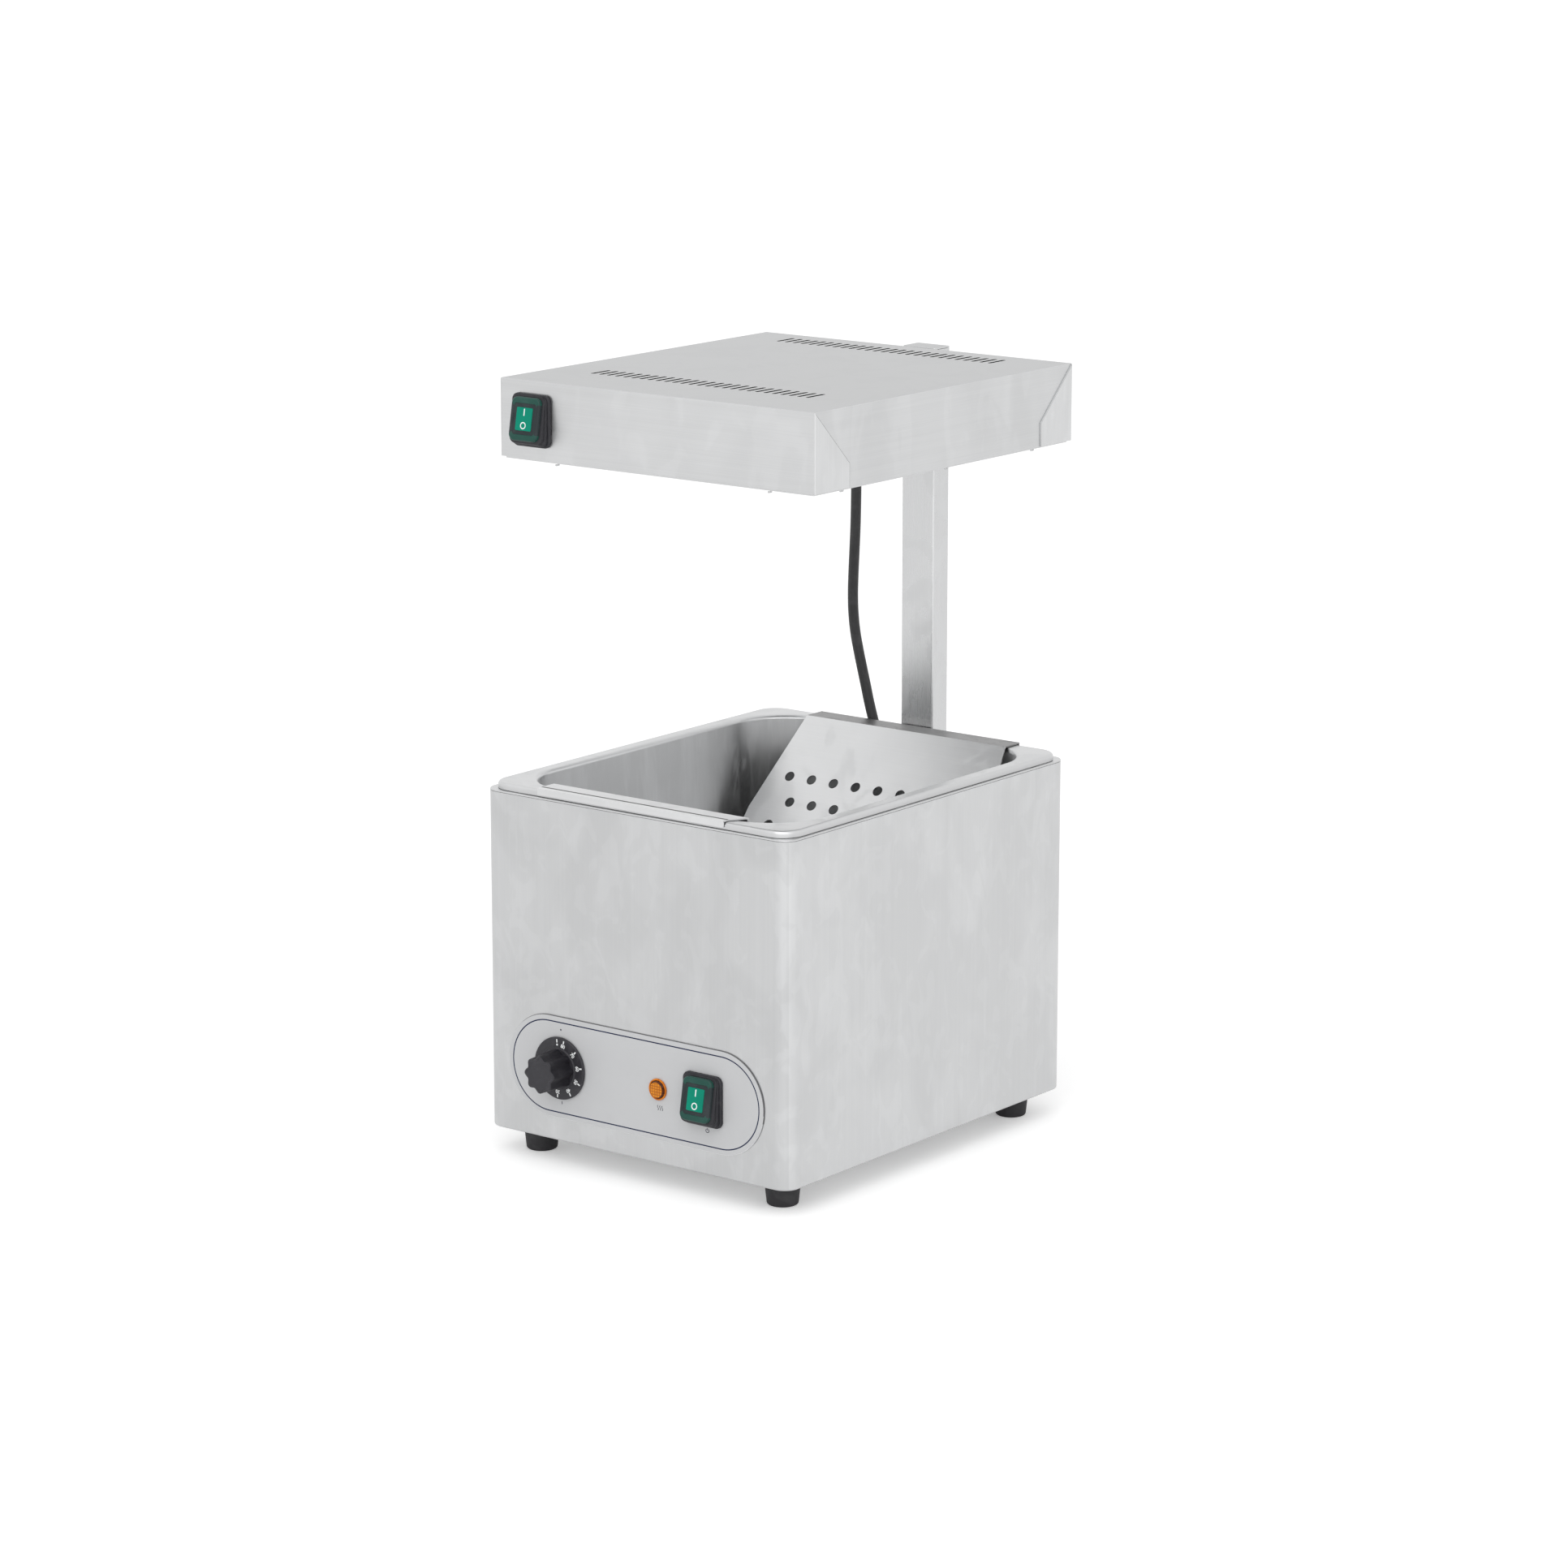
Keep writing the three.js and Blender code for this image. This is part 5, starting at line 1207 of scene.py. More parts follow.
@dataclass(frozen=True)
class DrainingPlate:
    """Perforated strip bent into a rear hook, a chute, a raised floor, a front wall and a front hook."""

    shift: float = 3.8 * MM
    hook_top: float = 271.3 * MM
    hook_reach: float = 163.8 * MM
    hook_depth: float = 18 * MM
    hook_low: float = 266.7 * MM
    floor: float = 131 * MM
    chute_foot: float = 28.1 * MM
    front_foot: float = -130.3 * MM
    slope: float = math.radians(50)
    narrow: float = 90 * MM
    wide: float = 104.5 * MM
    taper: float = 52 * MM
    front_taper: float = 14 * MM
    # The strip stays flat at the crease; the narrow band after it is painted shade, a dark line where a
    # fold's shadow would lie.
    crease: float = 157.6 * MM
    crease_shade_width: float = 2.2 * MM
    hook_cut: tuple[float, float] = (87.2 * MM, 78.6 * MM)
    fold: float = 1.8 * MM
    sheet: float = 1 * MM
    hole_radius: float = 4 * MM
    pitch: tuple[float, float] = (20.2 * MM, 20.6 * MM)
    columns: int = 9
    first_row: float = 51.6 * MM
    chute_rows: int = 6
    floor_rows: int = 7

    def line(self) -> list[Triple]:
        """Returns depth, height and half width at each fold, from the rear hook to the front one."""
        chute_top = self.hook_reach - self.hook_depth
        taper_level = self.hook_top - self.taper * math.tan(self.slope)
        return [
            (self.hook_reach, self.hook_low, self.narrow),
            (self.hook_reach, self.hook_top, self.narrow),
            (chute_top, self.hook_top, self.narrow),
            (chute_top - self.taper, taper_level, self.wide),
            (self.chute_foot, self.floor, self.wide),
            (self.front_foot + self.front_taper, self.floor, self.wide),
            (self.front_foot, self.floor, self.narrow),
            (-chute_top, self.hook_top, self.narrow),
            (-self.crease, self.hook_top, self.narrow),
            (-self.crease - self.crease_shade_width, self.hook_top, self.narrow),
            (-self.hook_reach, self.hook_top, self.narrow),
            (-self.hook_reach, self.hook_low, self.narrow),
        ]

    def row(self, form: Form, number: int, y: float, z: float, tilt: float) -> None:
        """Adds one row of hole cutters.

        Args:
            form: the cutter.
            number: number of the row, of which every other one has a hole less.
            y: depth of the row.
            z: height of the row.
            tilt: slope of the sheet there.
        """
        way = Vector((0, -math.sin(tilt), math.cos(tilt))) * 3 * self.sheet
        count = self.columns - number % 2
        for column in range(count):
            place = Vector((self.shift + (column - (count - 1) / 2) * self.pitch[0], y, z))
            form.rod(place - way, place + way, self.hole_radius, 20)

    def holes(self) -> Form:
        """Returns the form of all the draining holes and of the front hook's cut corner."""
        form = Form()
        chute_top = self.hook_reach - self.hook_depth
        for number in range(self.chute_rows):
            down = self.first_row + number * self.pitch[1]
            y = chute_top - down * math.cos(self.slope)
            self.row(form, number, y, self.hook_top - down * math.sin(self.slope), self.slope)
        length = self.chute_foot - self.front_foot
        start = self.chute_foot - (length - (self.floor_rows - 1) * self.pitch[1]) / 2
        for number in range(self.floor_rows):
            self.row(form, number + self.chute_rows, start - number * self.pitch[1], self.floor, 0)
        start_x, end_x = self.hook_cut
        fold_y, far_x, far_y = -chute_top + 1 * MM, self.wide, -self.hook_reach - 5 * MM
        outline = [(start_x, fold_y), (far_x, fold_y), (far_x, far_y), (end_x, far_y), (end_x, -self.crease)]
        corner = Form()
        corner.prism(outline, self.hook_low - 3 * MM, self.hook_top + 3 * MM)
        form.join(corner)
        return form

    def build(self) -> list[bpy.types.Object]:
        """Returns the plate."""
        form = Form()
        form.strip(self.line(), self.fold)
        form.move(Matrix.Translation((self.shift, 0, 0)))
        form.face_to(Vector((0, 0, 1)))
        # The rear hook's top gets the dark steel: painted shade.
        form.paint(1, lambda face: face.calc_center_median().y > self.hook_reach - self.hook_depth)
        # The front hook's lip gets the lighter steel: painted highlight.
        form.paint(2, lambda face: face.calc_center_median().y < -self.crease)
        # The narrow band at the crease gets near-black steel: a painted line of shade.
        form.paint(3, lambda face: 0 < -face.calc_center_median().y - self.crease < self.crease_shade_width)
        finishes = [INSERT_STEEL, REAR_HOOK_SHADE_STEEL, LIP_HIGHLIGHT_STEEL, DEEP_SHADE_STEEL]
        return [make_piece("bent_draining_plate", form, finishes, ["drain_insert"],
                           Body.INSERT, self.sheet, self.holes())]


@dataclass(frozen=True)
class RockerSwitch:
    """Illuminated rocker under a rubber boot that seals it to its frame."""

    name: str
    body: Body
    origin: Triple
    frame: Rounded = Rounded(33.5 * MM, 37 * MM, 5 * MM)
    mouth: Rounded = Rounded(24 * MM, 29 * MM, 2 * MM)
    pocket: Rounded = Rounded(29.6 * MM, 33.6 * MM, 2.3 * MM)
    cover: Rounded = Rounded(25.6 * MM, 30.6 * MM, 4.8 * MM)
    inner: Rounded = Rounded(19.4 * MM, 21.6 * MM, 1.6 * MM)
    window: Rounded = Rounded(14.2 * MM, 16.2 * MM, 0.8 * MM)
    neck: Rounded = Rounded(17 * MM, 18 * MM, 1 * MM)
    frame_front: float = 2.8 * MM
    cover_back: float = 7.2 * MM
    cover_front: float = 10.2 * MM
    neck_end: float = -6 * MM
    pivot: float = -1 * MM
    pin_half: float = 10 * MM
    pin_radius: float = 1.5 * MM
    tilt: float = math.radians(-10)

    def tilted(self, angle: float) -> Matrix:
        """Returns the turn of the rocker about its pin by an angle."""
        pin = Vector(self.origin) + Vector((0, -self.pivot, 0))
        return Matrix.Translation(pin) @ Matrix.Rotation(angle, 4, "X") @ Matrix.Translation(-pin)

    def seal(self) -> bpy.types.Object:
        """Makes the rubber frame that lies on the wall."""
        form = Form()
        back = 0.3 * MM
        shelf = 1.8 * MM
        loops = form.rings([
            (self.frame, back),
            (self.frame, self.frame_front),
            (self.mouth, self.frame_front),
            (self.mouth, shelf),
            (self.pocket, shelf),
            (self.pocket, back),
        ], 8, closed=True)
        form.bevel(loops[1], 0.9 * MM, 4)
        form.bevel(loops[0], 0.25 * MM, 2)
        form.move(facing_front(*self.origin))
        return make_piece(f"{self.name}_seal_frame", form, [BOOT_RUBBER],
                          [f"{self.name}_switch_frame"])

    def boot(self) -> bpy.types.Object:
        """Makes the stepped boot between the frame and the rocker's cover."""
        form = Form()
        root = Rounded(30.8 * MM, 35 * MM, 4.6 * MM)
        step = Rounded(29 * MM, 33.6 * MM, 4.6 * MM)
        loops = form.rings([
            (root, self.frame_front - 0.3 * MM),
            (root, 4.4 * MM),
            (root.inset(1.3 * MM), 4.75 * MM),
            (step, 5.1 * MM),
            (step, 6.6 * MM),
            (self.cover.inset(0.6 * MM), self.cover_back - 0.05 * MM),
            (self.neck.inset(-0.6 * MM), self.cover_back - 0.05 * MM),
        ], 8)
        for loop, radius in zip(loops[1:6], (0.5, 0.3, 0.3, 0.5, 0.3)):
            form.bevel(loop, radius * MM, 3)
        form.face_to(Vector((0, 0, 1)))
        form.move(facing_front(*self.origin))
        low, high = 3.0 * MM, 6.9 * MM
        for vert in form.bm.verts:
            share = min(1.0, max(0.0, (self.origin[1] - vert.co.y - low) / (high - low)))
            vert.co = self.tilted(self.tilt * share) @ vert.co
        piece = make_piece(f"{self.name}_boot", form, [BOOT_RUBBER], body=None, sheet=0.7 * MM)
        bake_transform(piece)
        return piece

    def rocker(self) -> bpy.types.Object:
        """Makes the rocker with its two-tone cover and raised window."""
        form = Form()
        shoulder = self.cover_front - 0.9 * MM
        ledge = self.cover_front - 0.55 * MM
        loops = form.rings([
            (self.cover, self.cover_back),
            (self.cover, shoulder),
            (self.cover.inset(1.1 * MM), self.cover_front),
            (self.inner.inset(-0.4 * MM), self.cover_front),
            (self.inner, ledge),
            (self.window, ledge),
            (self.window.inset(0.2 * MM), self.cover_front - 0.05 * MM),
        ], 8)
        form.cap(loops[0])
        form.cap(loops[-1])
        form.bevel(loops[1] + loops[2], 0.5 * MM, 3)
        field = ledge + 0.02 * MM
        form.paint(1, lambda face: self.cover_front - 0.8 * MM < face.calc_center_median().z < field)
        form.paint(1, lambda face: abs(face.calc_center_median().y) < self.inner.depth / 2 - 2 * MM)
        form.paint(2, lambda face: max(abs(vert.co.x) for vert in face.verts) <= self.window.width / 2 + WELD
                   and face.calc_center_median().z > field)
        solid = Form()
        solid.raised(self.neck, self.neck_end, self.cover_back + 0.5 * MM, steps=4)
        solid.rod((-self.pin_half, 0, self.pivot), (self.pin_half, 0, self.pivot), self.pin_radius, 20)
        solid.paint(3, lambda face: True)
        form.join(solid)
        form.move(self.tilted(self.tilt) @ facing_front(*self.origin))
        finishes = [COVER_GREEN, INNER_GREEN, WINDOW_GREEN, BLACK_PLASTIC]
        return make_piece(f"{self.name}_rocker", form, finishes, [f"{self.name}_switch_rocker"],
                          self.body)

    def marks(self) -> bpy.types.Object:
        """Makes the two printed signs on the window, a bar over a ring."""
        form = Form()
        low = self.cover_front - 0.06 * MM
        high = self.cover_front + 0.03 * MM
        form.box((-0.45 * MM, 2.3 * MM, low), (0.45 * MM, 7.2 * MM, high))
        ring = Form()
        ring.lathe([
            (1.75 * MM, low, 0), (2.5 * MM, low, 0), (2.5 * MM, high, 0), (1.75 * MM, high, 0),
        ], 40, closed=True)
        ring.move(Matrix.Translation((0, -4.5 * MM, 0)))
        form.join(ring)
        form.move(self.tilted(self.tilt) @ facing_front(*self.origin))
        return make_piece(f"{self.name}_rocker_signs", form, [MARK_WHITE], body=self.body)

    def build(self) -> list[bpy.types.Object]:
        """Returns the switch's pieces."""
        housing = refined(f"{self.name}_switch_housing", BLACK_PLASTIC, 0.3 * MM)
        return [housing, self.seal(), self.boot(), self.rocker(), self.marks()]


@dataclass(frozen=True)
class ControlPanel:
    """Film-faced plate on the front wall with the thermostat's knob, the indicator lamp and a switch."""

    origin: Triple = (0.0, -165 * MM, 73.25 * MM)
    plate: Rounded = Rounded(228 * MM, 74 * MM, 36.9 * MM, 1 * MM)
    back: float = 0.3 * MM
    front: float = 1.1 * MM
    line_inset: float = 3.7 * MM
    line_width: float = 0.85 * MM
    ink: float = 0.04 * MM
    knob_x: float = -65.3 * MM
    lamp_x: float = 22.7 * MM
    switch_x: float = 63.1 * MM
    dial_radius: float = 22.6 * MM
    dial_back: float = 1.7 * MM
    dial_front: float = 3.5 * MM
    knob_reach: float = 25 * MM
    knob_bore: tuple[float, float] = (3.3 * MM, 13.7 * MM)
    flutes: int = 8
    flute_depth: float = 2.3 * MM
    collar: float = 0.9 * MM
    number_size: float = 3.7 * MM
    number_ring: float = 16.9 * MM
    bezel_radius: float = 7.7 * MM
    barrel_radius: float = 5.9 * MM
    barrel_end: float = -24 * MM
    numerals: tuple[tuple[str, float], ...] = (
        ("80", 13.4), ("70", 47.4), ("60", 81.4), ("50", 115.4), ("40", 149.4), ("30", 183.4),
    )
    off_angle: float = -4.0

    def at(self, across: float) -> Matrix:
        """Returns the matrix that turns a face-on form to the front wall, at a distance along the plate."""
        x, y, z = self.origin
        return facing_front(x + across, y, z)

    def face(self) -> bpy.types.Object:
        """Makes the plate."""
        form = Form()
        form.raised(self.plate, self.back, self.front, 0.6 * MM, 20)
        # The plate's rounded edge is painted by the way it faces: painted shade up and right, painted
        # highlight down and left.
        shaded = Vector((0.45, 0.89, 0))
        form.outward()
        form.paint(1, lambda face: face.normal.dot(shaded) > 0.2)
        form.paint(2, lambda face: face.normal.dot(shaded) < -0.2)
        holes = Form()
        for x, radius in ((self.knob_x, 3.6 * MM), (self.lamp_x, 6.2 * MM)):
            holes.rod((x, 0, -self.front), (x, 0, 3 * self.front), radius, 32)
        half, tall = SWITCH_HOLE_HALF
        holes.box((self.switch_x - half, -tall, -self.front), (self.switch_x + half, tall, 3 * self.front))
        for shape in (form, holes):
            shape.move(facing_front(*self.origin))
        finishes = [FILM, FILM_SHADE, FILM_HIGHLIGHT]
        return make_piece("plate_face", form, finishes, ["control_plate"], cutter=holes)

    def outline_print(self) -> bpy.types.Object:
        """Makes the navy line that is printed round the plate."""
        form = Form()
        outer = self.plate.inset(self.line_inset)
        inner = outer.inset(self.line_width)
        low, high = self.front - self.ink, self.front + self.ink
        form.rings([(outer, low), (outer, high), (inner, high), (inner, low)], 24, closed=True)
        form.move(facing_front(*self.origin))
        return make_piece("plate_outline_print", form, [MARK_NAVY])

    def sign_print(self) -> bpy.types.Object:
        """Makes the plate's small dark signs: the knob's two marks, heat waves and a power sign."""
        form = Form()
        low, high = self.front - self.ink, self.front + self.ink
        form.rod((-65 * MM, 27.7 * MM, low), (-65 * MM, 27.7 * MM, high), 0.65 * MM, 16)
        form.box((-64.8 * MM, -26.4 * MM, low), (-64.2 * MM, -24.3 * MM, high))
        for shift in (-1.9, 0.0, 1.9):
            steps = [step / 12 for step in range(13)]
            left = [((24 + shift + 0.45 * math.sin(FULL_TURN * t)) * MM, (-15 + 3.6 * t) * MM) for t in steps]
            right = [(x + 0.5 * MM, y) for x, y in reversed(left)]
            form.prism(left + right, low, high)
        ring = Form()
        ring.arc(1.35 * MM, 0.5 * MM, low, high, math.radians(125), math.radians(290))
        ring.box((-0.25 * MM, 0.2 * MM, low), (0.25 * MM, 1.9 * MM, high))
        ring.move(Matrix.Translation((66 * MM, -21.9 * MM, 0)))
        form.join(ring)
        form.move(facing_front(*self.origin))
        return make_piece("plate_sign_print", form, [MARK_GREY])

    def knob(self) -> bpy.types.Object:
        """Makes the knob, one moulding of a flat dial and a fluted grip."""
        form = Form()
        bore, bore_end = self.knob_bore
        form.lathe([
            (bore, self.dial_back, 0),
            (self.dial_radius, self.dial_back, 0.3 * MM),
            (self.dial_radius, self.dial_front, 0.8 * MM),
            (15.1 * MM, self.dial_front, 0.15 * MM),
            (14.7 * MM, self.dial_front + self.collar, 0.4 * MM),
            (bore, self.dial_front + self.collar, 0),
        ], 96, closed=True)
        grip = Form()
        root = self.dial_front + self.collar - 0.2 * MM
        grip.fluted([
            (bore, bore_end, 0),
            (bore, root, 0),
            (14.4 * MM, root, self.flute_depth),
            (13.6 * MM, self.knob_reach - 0.9 * MM, self.flute_depth),
            (13.3 * MM, self.knob_reach - 0.3 * MM, self.flute_depth),
            (12.7 * MM, self.knob_reach, self.flute_depth),
            (11.9 * MM, self.knob_reach, self.flute_depth),
            (11.7 * MM, self.knob_reach - 0.25 * MM, self.flute_depth),
        ], self.flutes)
        # The grip's steep sides get the darker plastic: painted shade.
        grip.paint(1, lambda face: abs(face.normal.z) < 0.3)
        form.join(grip)
        form.move(self.at(self.knob_x))
        finishes = [KNOB_PLASTIC, GRIP_SHADE_PLASTIC]
        return make_piece("fluted_knob", form, finishes, ["thermostat_knob"], Body.KNOB)

    def dial_print(self) -> bpy.types.Object:
        """Makes the dial's white numbers, ticks and off mark."""
        form = Form()
        low, high = self.dial_front - self.ink, self.dial_front + self.ink
        angles = [math.radians(-angle) for _, angle in self.numerals]
        for angle in [*angles, math.radians(-self.off_angle)]:
            tick = Form()
            tick.box((-0.5 * MM, 18.8 * MM, low), (0.5 * MM, 21.2 * MM, high))
            form.join(tick.move(Matrix.Rotation(angle, 4, "Z")))
        for (text, _), angle in zip(self.numerals, angles):
            word = lettering(text, self.number_size, self.ink)
            place = Matrix.Translation((0, self.number_ring, self.dial_front))
            form.join(word.move(Matrix.Rotation(angle, 4, "Z") @ place))
        dot = Form()
        dot.rod((0, 17.3 * MM, low), (0, 17.3 * MM, high), 0.8 * MM, 20)
        form.join(dot.move(Matrix.Rotation(math.radians(-self.off_angle), 4, "Z")))
        form.move(self.at(self.knob_x))
        return make_piece("dial_print", form, [MARK_WHITE], body=Body.KNOB)

    def lamp_body(self) -> bpy.types.Object:
        """Makes the indicator's bezel and barrel."""
        form = Form()
        form.lathe([
            (0, 1.9 * MM, 0),
            (6.5 * MM, 1.9 * MM, 0),
            (6.7 * MM, 2.4 * MM, 0.15 * MM),
            (self.bezel_radius, 2.4 * MM, 0.5 * MM),
            (self.bezel_radius, 1.4 * MM, 0),
            (self.barrel_radius, 1.4 * MM, 0),
            (self.barrel_radius, self.barrel_end, 0.5 * MM),
            (0, self.barrel_end, 0),
        ])
        form.move(self.at(self.lamp_x))
        return make_piece("lamp_bezel", form, [AMBER_BEZEL], ["indicator_body"])

    def lamp_lens(self) -> bpy.types.Object:
        """Makes the indicator's shallow domed lens."""
        form = Form()
        form.lathe([
            (0, 4.1 * MM, 0),
            (3.4 * MM, 4.05 * MM, 1.5 * MM),
            (5.5 * MM, 3.9 * MM, 0.2 * MM),
            (6.4 * MM, 2.3 * MM, 0.2 * MM),
            (6.5 * MM, 2.0 * MM, 0),
            (0, 2.0 * MM, 0),
        ])
        form.outward()
        # The lens's steep side wall gets the dark amber: painted shade.
        form.paint(1, lambda face: face.normal.z < 0.85)
        form.move(self.at(self.lamp_x))
        return make_piece("lamp_lens", form, [AMBER_LENS, AMBER_WALL_SHADE], ["indicator_lens"])

    def build(self) -> list[bpy.types.Object]:
        """Returns the panel's pieces."""
        x, y, z = self.origin
        switch = RockerSwitch("base", Body.BASE_ROCKER, (x + self.switch_x, y - self.front, z))
        return [
            self.face(),
            self.outline_print(),
            self.sign_print(),
            self.knob(),
            self.dial_print(),
            self.lamp_body(),
            self.lamp_lens(),
            refined("thermostat_shaft", ZINC_STEEL, 0.4 * MM, Body.KNOB),
            refined("thermostat_body", CERAMIC, 0.8 * MM),
            refined("thermostat_bulb", COPPER_METAL, 0.0),
            *switch.build(),
        ]


@dataclass(frozen=True)
class Post:
    """Rectangular tube behind the casing, bolted to a plate inside the back wall."""

    tube: Rounded = Rounded(29 * MM, 19 * MM, 1.8 * MM, 0, 175 * MM)
    bottom: float = 59 * MM
    top: float = 550.6 * MM
    cap_top: float = 551.8 * MM
    wall: float = 1.5 * MM
    bolt_levels: tuple[float, float] = (92 * MM, 222 * MM)
    bolt_start: float = 158.7 * MM
    bolt_radius: float = 3.9 * MM
    bolt_hole: float = 4.2 * MM
    bolt_head_radius: float = 7.5 * MM
    head_seat: float = 184.8 * MM
    head_height: float = 5.2 * MM

    def pillar(self) -> bpy.types.Object:
        """Makes the tube."""
        form = Form()
        inner = self.tube.inset(self.wall)
        loops = form.rings([
            (self.tube, self.bottom), (self.tube, self.top), (inner, self.top), (inner, self.bottom),
        ], 5, closed=True)
        form.bevel(loops[0] + loops[1], 0.2 * MM, 2)
        holes = Form()
        for level in self.bolt_levels:
            holes.rod((0, 162 * MM, level), (0, 190 * MM, level), self.bolt_hole, 24)
        return make_piece("post_pillar", form, [POST_STEEL], ["post_tube"], cutter=holes)

    def cap(self) -> bpy.types.Object:
        """Makes the cap with the plug that holds it in the tube."""
        form = Form()
        form.raised(self.tube, self.top + 0.3 * MM, self.cap_top, 0.4 * MM, 5)
        plug = Form()
        plug.raised(self.tube.inset(self.wall + 0.3 * MM), self.top - 8 * MM, self.top + 0.6 * MM, steps=5)
        form.join(plug)
        form.outward()
        # The cap's top gets the darker steel: painted shade.
        form.paint(1, lambda face: face.normal.z > 0.75)
        return make_piece("post_top_cap", form, [POST_STEEL, PAINTED_SHADE_STEEL], ["post_cap"])

    def bolt(self, name: str, level: float) -> bpy.types.Object:
        """Makes one bolt, its hexagonal head outside the tube."""
        form = Form()
        head_end = self.head_seat + self.head_height
        form.rod((0, self.head_seat, level), (0, head_end, level), self.bolt_head_radius, 6)
        outer = [rim for rim in form.bm.edges if all(vert.co.y > head_end - WELD for vert in rim.verts)]
        form.bevel(outer, 0.6 * MM, 2)
        shank = Form()
        shank_end = self.head_seat + self.head_height / 2
        shank.rod((0, self.bolt_start, level), (0, shank_end, level), self.bolt_radius, 24)
        form.join(shank)
        return make_piece(f"{name}_piece", form, [ZINC_STEEL], [name])

    def build(self) -> list[bpy.types.Object]:
        """Returns the post's pieces."""
        names = ("post_bolt_lower", "post_bolt_upper")
        bolts = [self.bolt(name, level) for name, level in zip(names, self.bolt_levels)]
        plate = refined("post_backing_plate", ZINC_STEEL, 0.4 * MM)
        return [self.pillar(), self.cap(), *bolts, plate]


@dataclass(frozen=True)
class LampHead:
    """Folded hood with cooling slots over two infrared lamps, a reflector, a tray and a wire guard."""

    outline: Rounded = Rounded(273 * MM, 300 * MM, 0.1 * MM, 0, 11.4 * MM)
    half_width: float = 137.5 * MM
    bottom: float = 497 * MM
    top: float = 552 * MM
    sheet: float = 1 * MM
    fold: float = 0.9 * MM
    lip: float = 15 * MM
    tab: float = 38 * MM
    slots: int = 27
    slot: Rounded = Rounded(2.9 * MM, 20 * MM, 1.4 * MM)
    slot_pitch: float = 7.25 * MM
    slot_x: float = -4 * MM
    slot_rows: tuple[float, float] = (-76.6 * MM, 135.4 * MM)
    switch_origin: Triple = (-108 * MM, -138.6 * MM, 524.5 * MM)
    lead_hole: Triple = (-60.4 * MM, 523 * MM, 5.8 * MM)
    studs: tuple[tuple[float, float], ...] = (
        (-21.6 * MM, 517.8 * MM), (21.6 * MM, 517.8 * MM), (-21.6 * MM, 532.2 * MM), (21.6 * MM, 532.2 * MM),
    )
    tray_top: float = 496.7 * MM
    tray_inset: float = 2 * MM
    mouth: Rounded = Rounded(188 * MM, 200 * MM, 6 * MM, 0, 11.4 * MM)
    stud_hole: float = 2.3 * MM
    screw_hole: float = 2.2 * MM
    screw_seat: float = 495.4 * MM
    end_screws: tuple[float, float] = (93 * MM, 142 * MM)
    side_screws: tuple[float, ...] = (-109.5 * MM, 10.5 * MM, 114 * MM)
    side_screw_x: float = 128.5 * MM
    reflector_half: float = 90 * MM
    reflector_level: float = 498.1 * MM
    reflector_sheet: float = 0.8 * MM
    lamp_radius: float = 5 * MM
    lamp_bore: float = 3.9 * MM
    lamp_level: float = 513 * MM
    lamp_offset: float = 45 * MM
    lamp_half: float = 103 * MM
    guard_level: float = 494.3 * MM
    guard_half: tuple[float, float] = (100 * MM, 106 * MM)
    guard_wire: float = 1.1 * MM
    guard_wires: int = 9

    def screw_places(self) -> dict[str, tuple[float, float]]:
        """Returns the place of each screw by the name of its node."""
        middle = self.outline.y
        end_x, end_y = self.end_screws
        ends = {
            f"head_screw_{row}_{side}": (way * end_x, middle + along * end_y)
            for row, along in (("front", -1), ("rear", 1))
            for side, way in (("left", -1), ("right", 1))
        }
        sides = {
            f"head_screw_{side}_{number}": (way * self.side_screw_x, middle + along)
            for side, way in (("left", -1), ("right", 1))
            for number, along in enumerate(self.side_screws, 1)
        }
        return ends | sides

    def screw_holes(self) -> Form:
        """Returns the form of the screws' holes through the tray and the hood's lip."""
        form = Form()
        for x, y in self.screw_places().values():
            form.rod((x, y, self.bottom - INWARD_OVERRUN), (x, y, self.bottom + OVERRUN), self.screw_hole, 12)
        return form

    def hood_holes(self) -> Form:
        """Returns the form of the slots and holes in the hood."""
        form = self.screw_holes()
        for y in self.slot_rows:
            for number in range(self.slots):
                x = self.slot_x + (number - (self.slots - 1) / 2) * self.slot_pitch
                slot = Form()
                slot.raised(self.slot, self.top - INWARD_OVERRUN, self.top + OVERRUN, steps=4)
                # The slots' cut walls take the hood's near-black steel: painted shade.
                slot.paint(3, lambda face: True)
                form.join(slot.move(Matrix.Translation((x, y, 0))))
        x, y, z = self.switch_origin
        half, tall = SWITCH_HOLE_HALF
        form.box((x - half, y - OVERRUN, z - tall), (x + half, y + INWARD_OVERRUN, z + tall))
        rear = self.outline.y + self.outline.depth / 2
        for x, z, radius in [self.lead_hole, *((x, z, self.stud_hole) for x, z in self.studs)]:
            form.rod((x, rear - INWARD_OVERRUN, z), (x, rear + OVERRUN, z), radius, 24)
        return form

    def hood(self) -> bpy.types.Object:
        """Makes the hood: a top with four folded walls and a lip under them."""
        form = Form()
        lip = Rounded(self.outline.width - 2 * self.lip, self.outline.depth - 2 * self.lip, 0.1 * MM, 0,
                      self.outline.y)
        stack = [(lip, self.bottom), (self.outline, self.bottom), (self.outline, self.top)]
        _, foot, rim = form.rings(stack, 1)
        form.cap(rim)
        form.bevel([*foot, *rim], self.fold, 4)
        form.face_to(Vector((0, 0, 1)))
        form.paint(1, lambda face: abs(face.normal.x) > 0.75)
        # The top gets the darker steel: painted shade.
        form.paint(2, lambda face: face.normal.z > 0.75)
        # The last finish, near black, is painted shade on the sheet's inner side and on the slots' walls.
        finishes = [HEAD_FRONT_STEEL, HEAD_SIDE_STEEL, PAINTED_SHADE_STEEL, HOLLOW_SHADE_STEEL]
        return make_piece("folded_hood", form, finishes, ["head_hood"], sheet=self.sheet,
                          cutter=self.hood_holes(), shaded_inside=True)

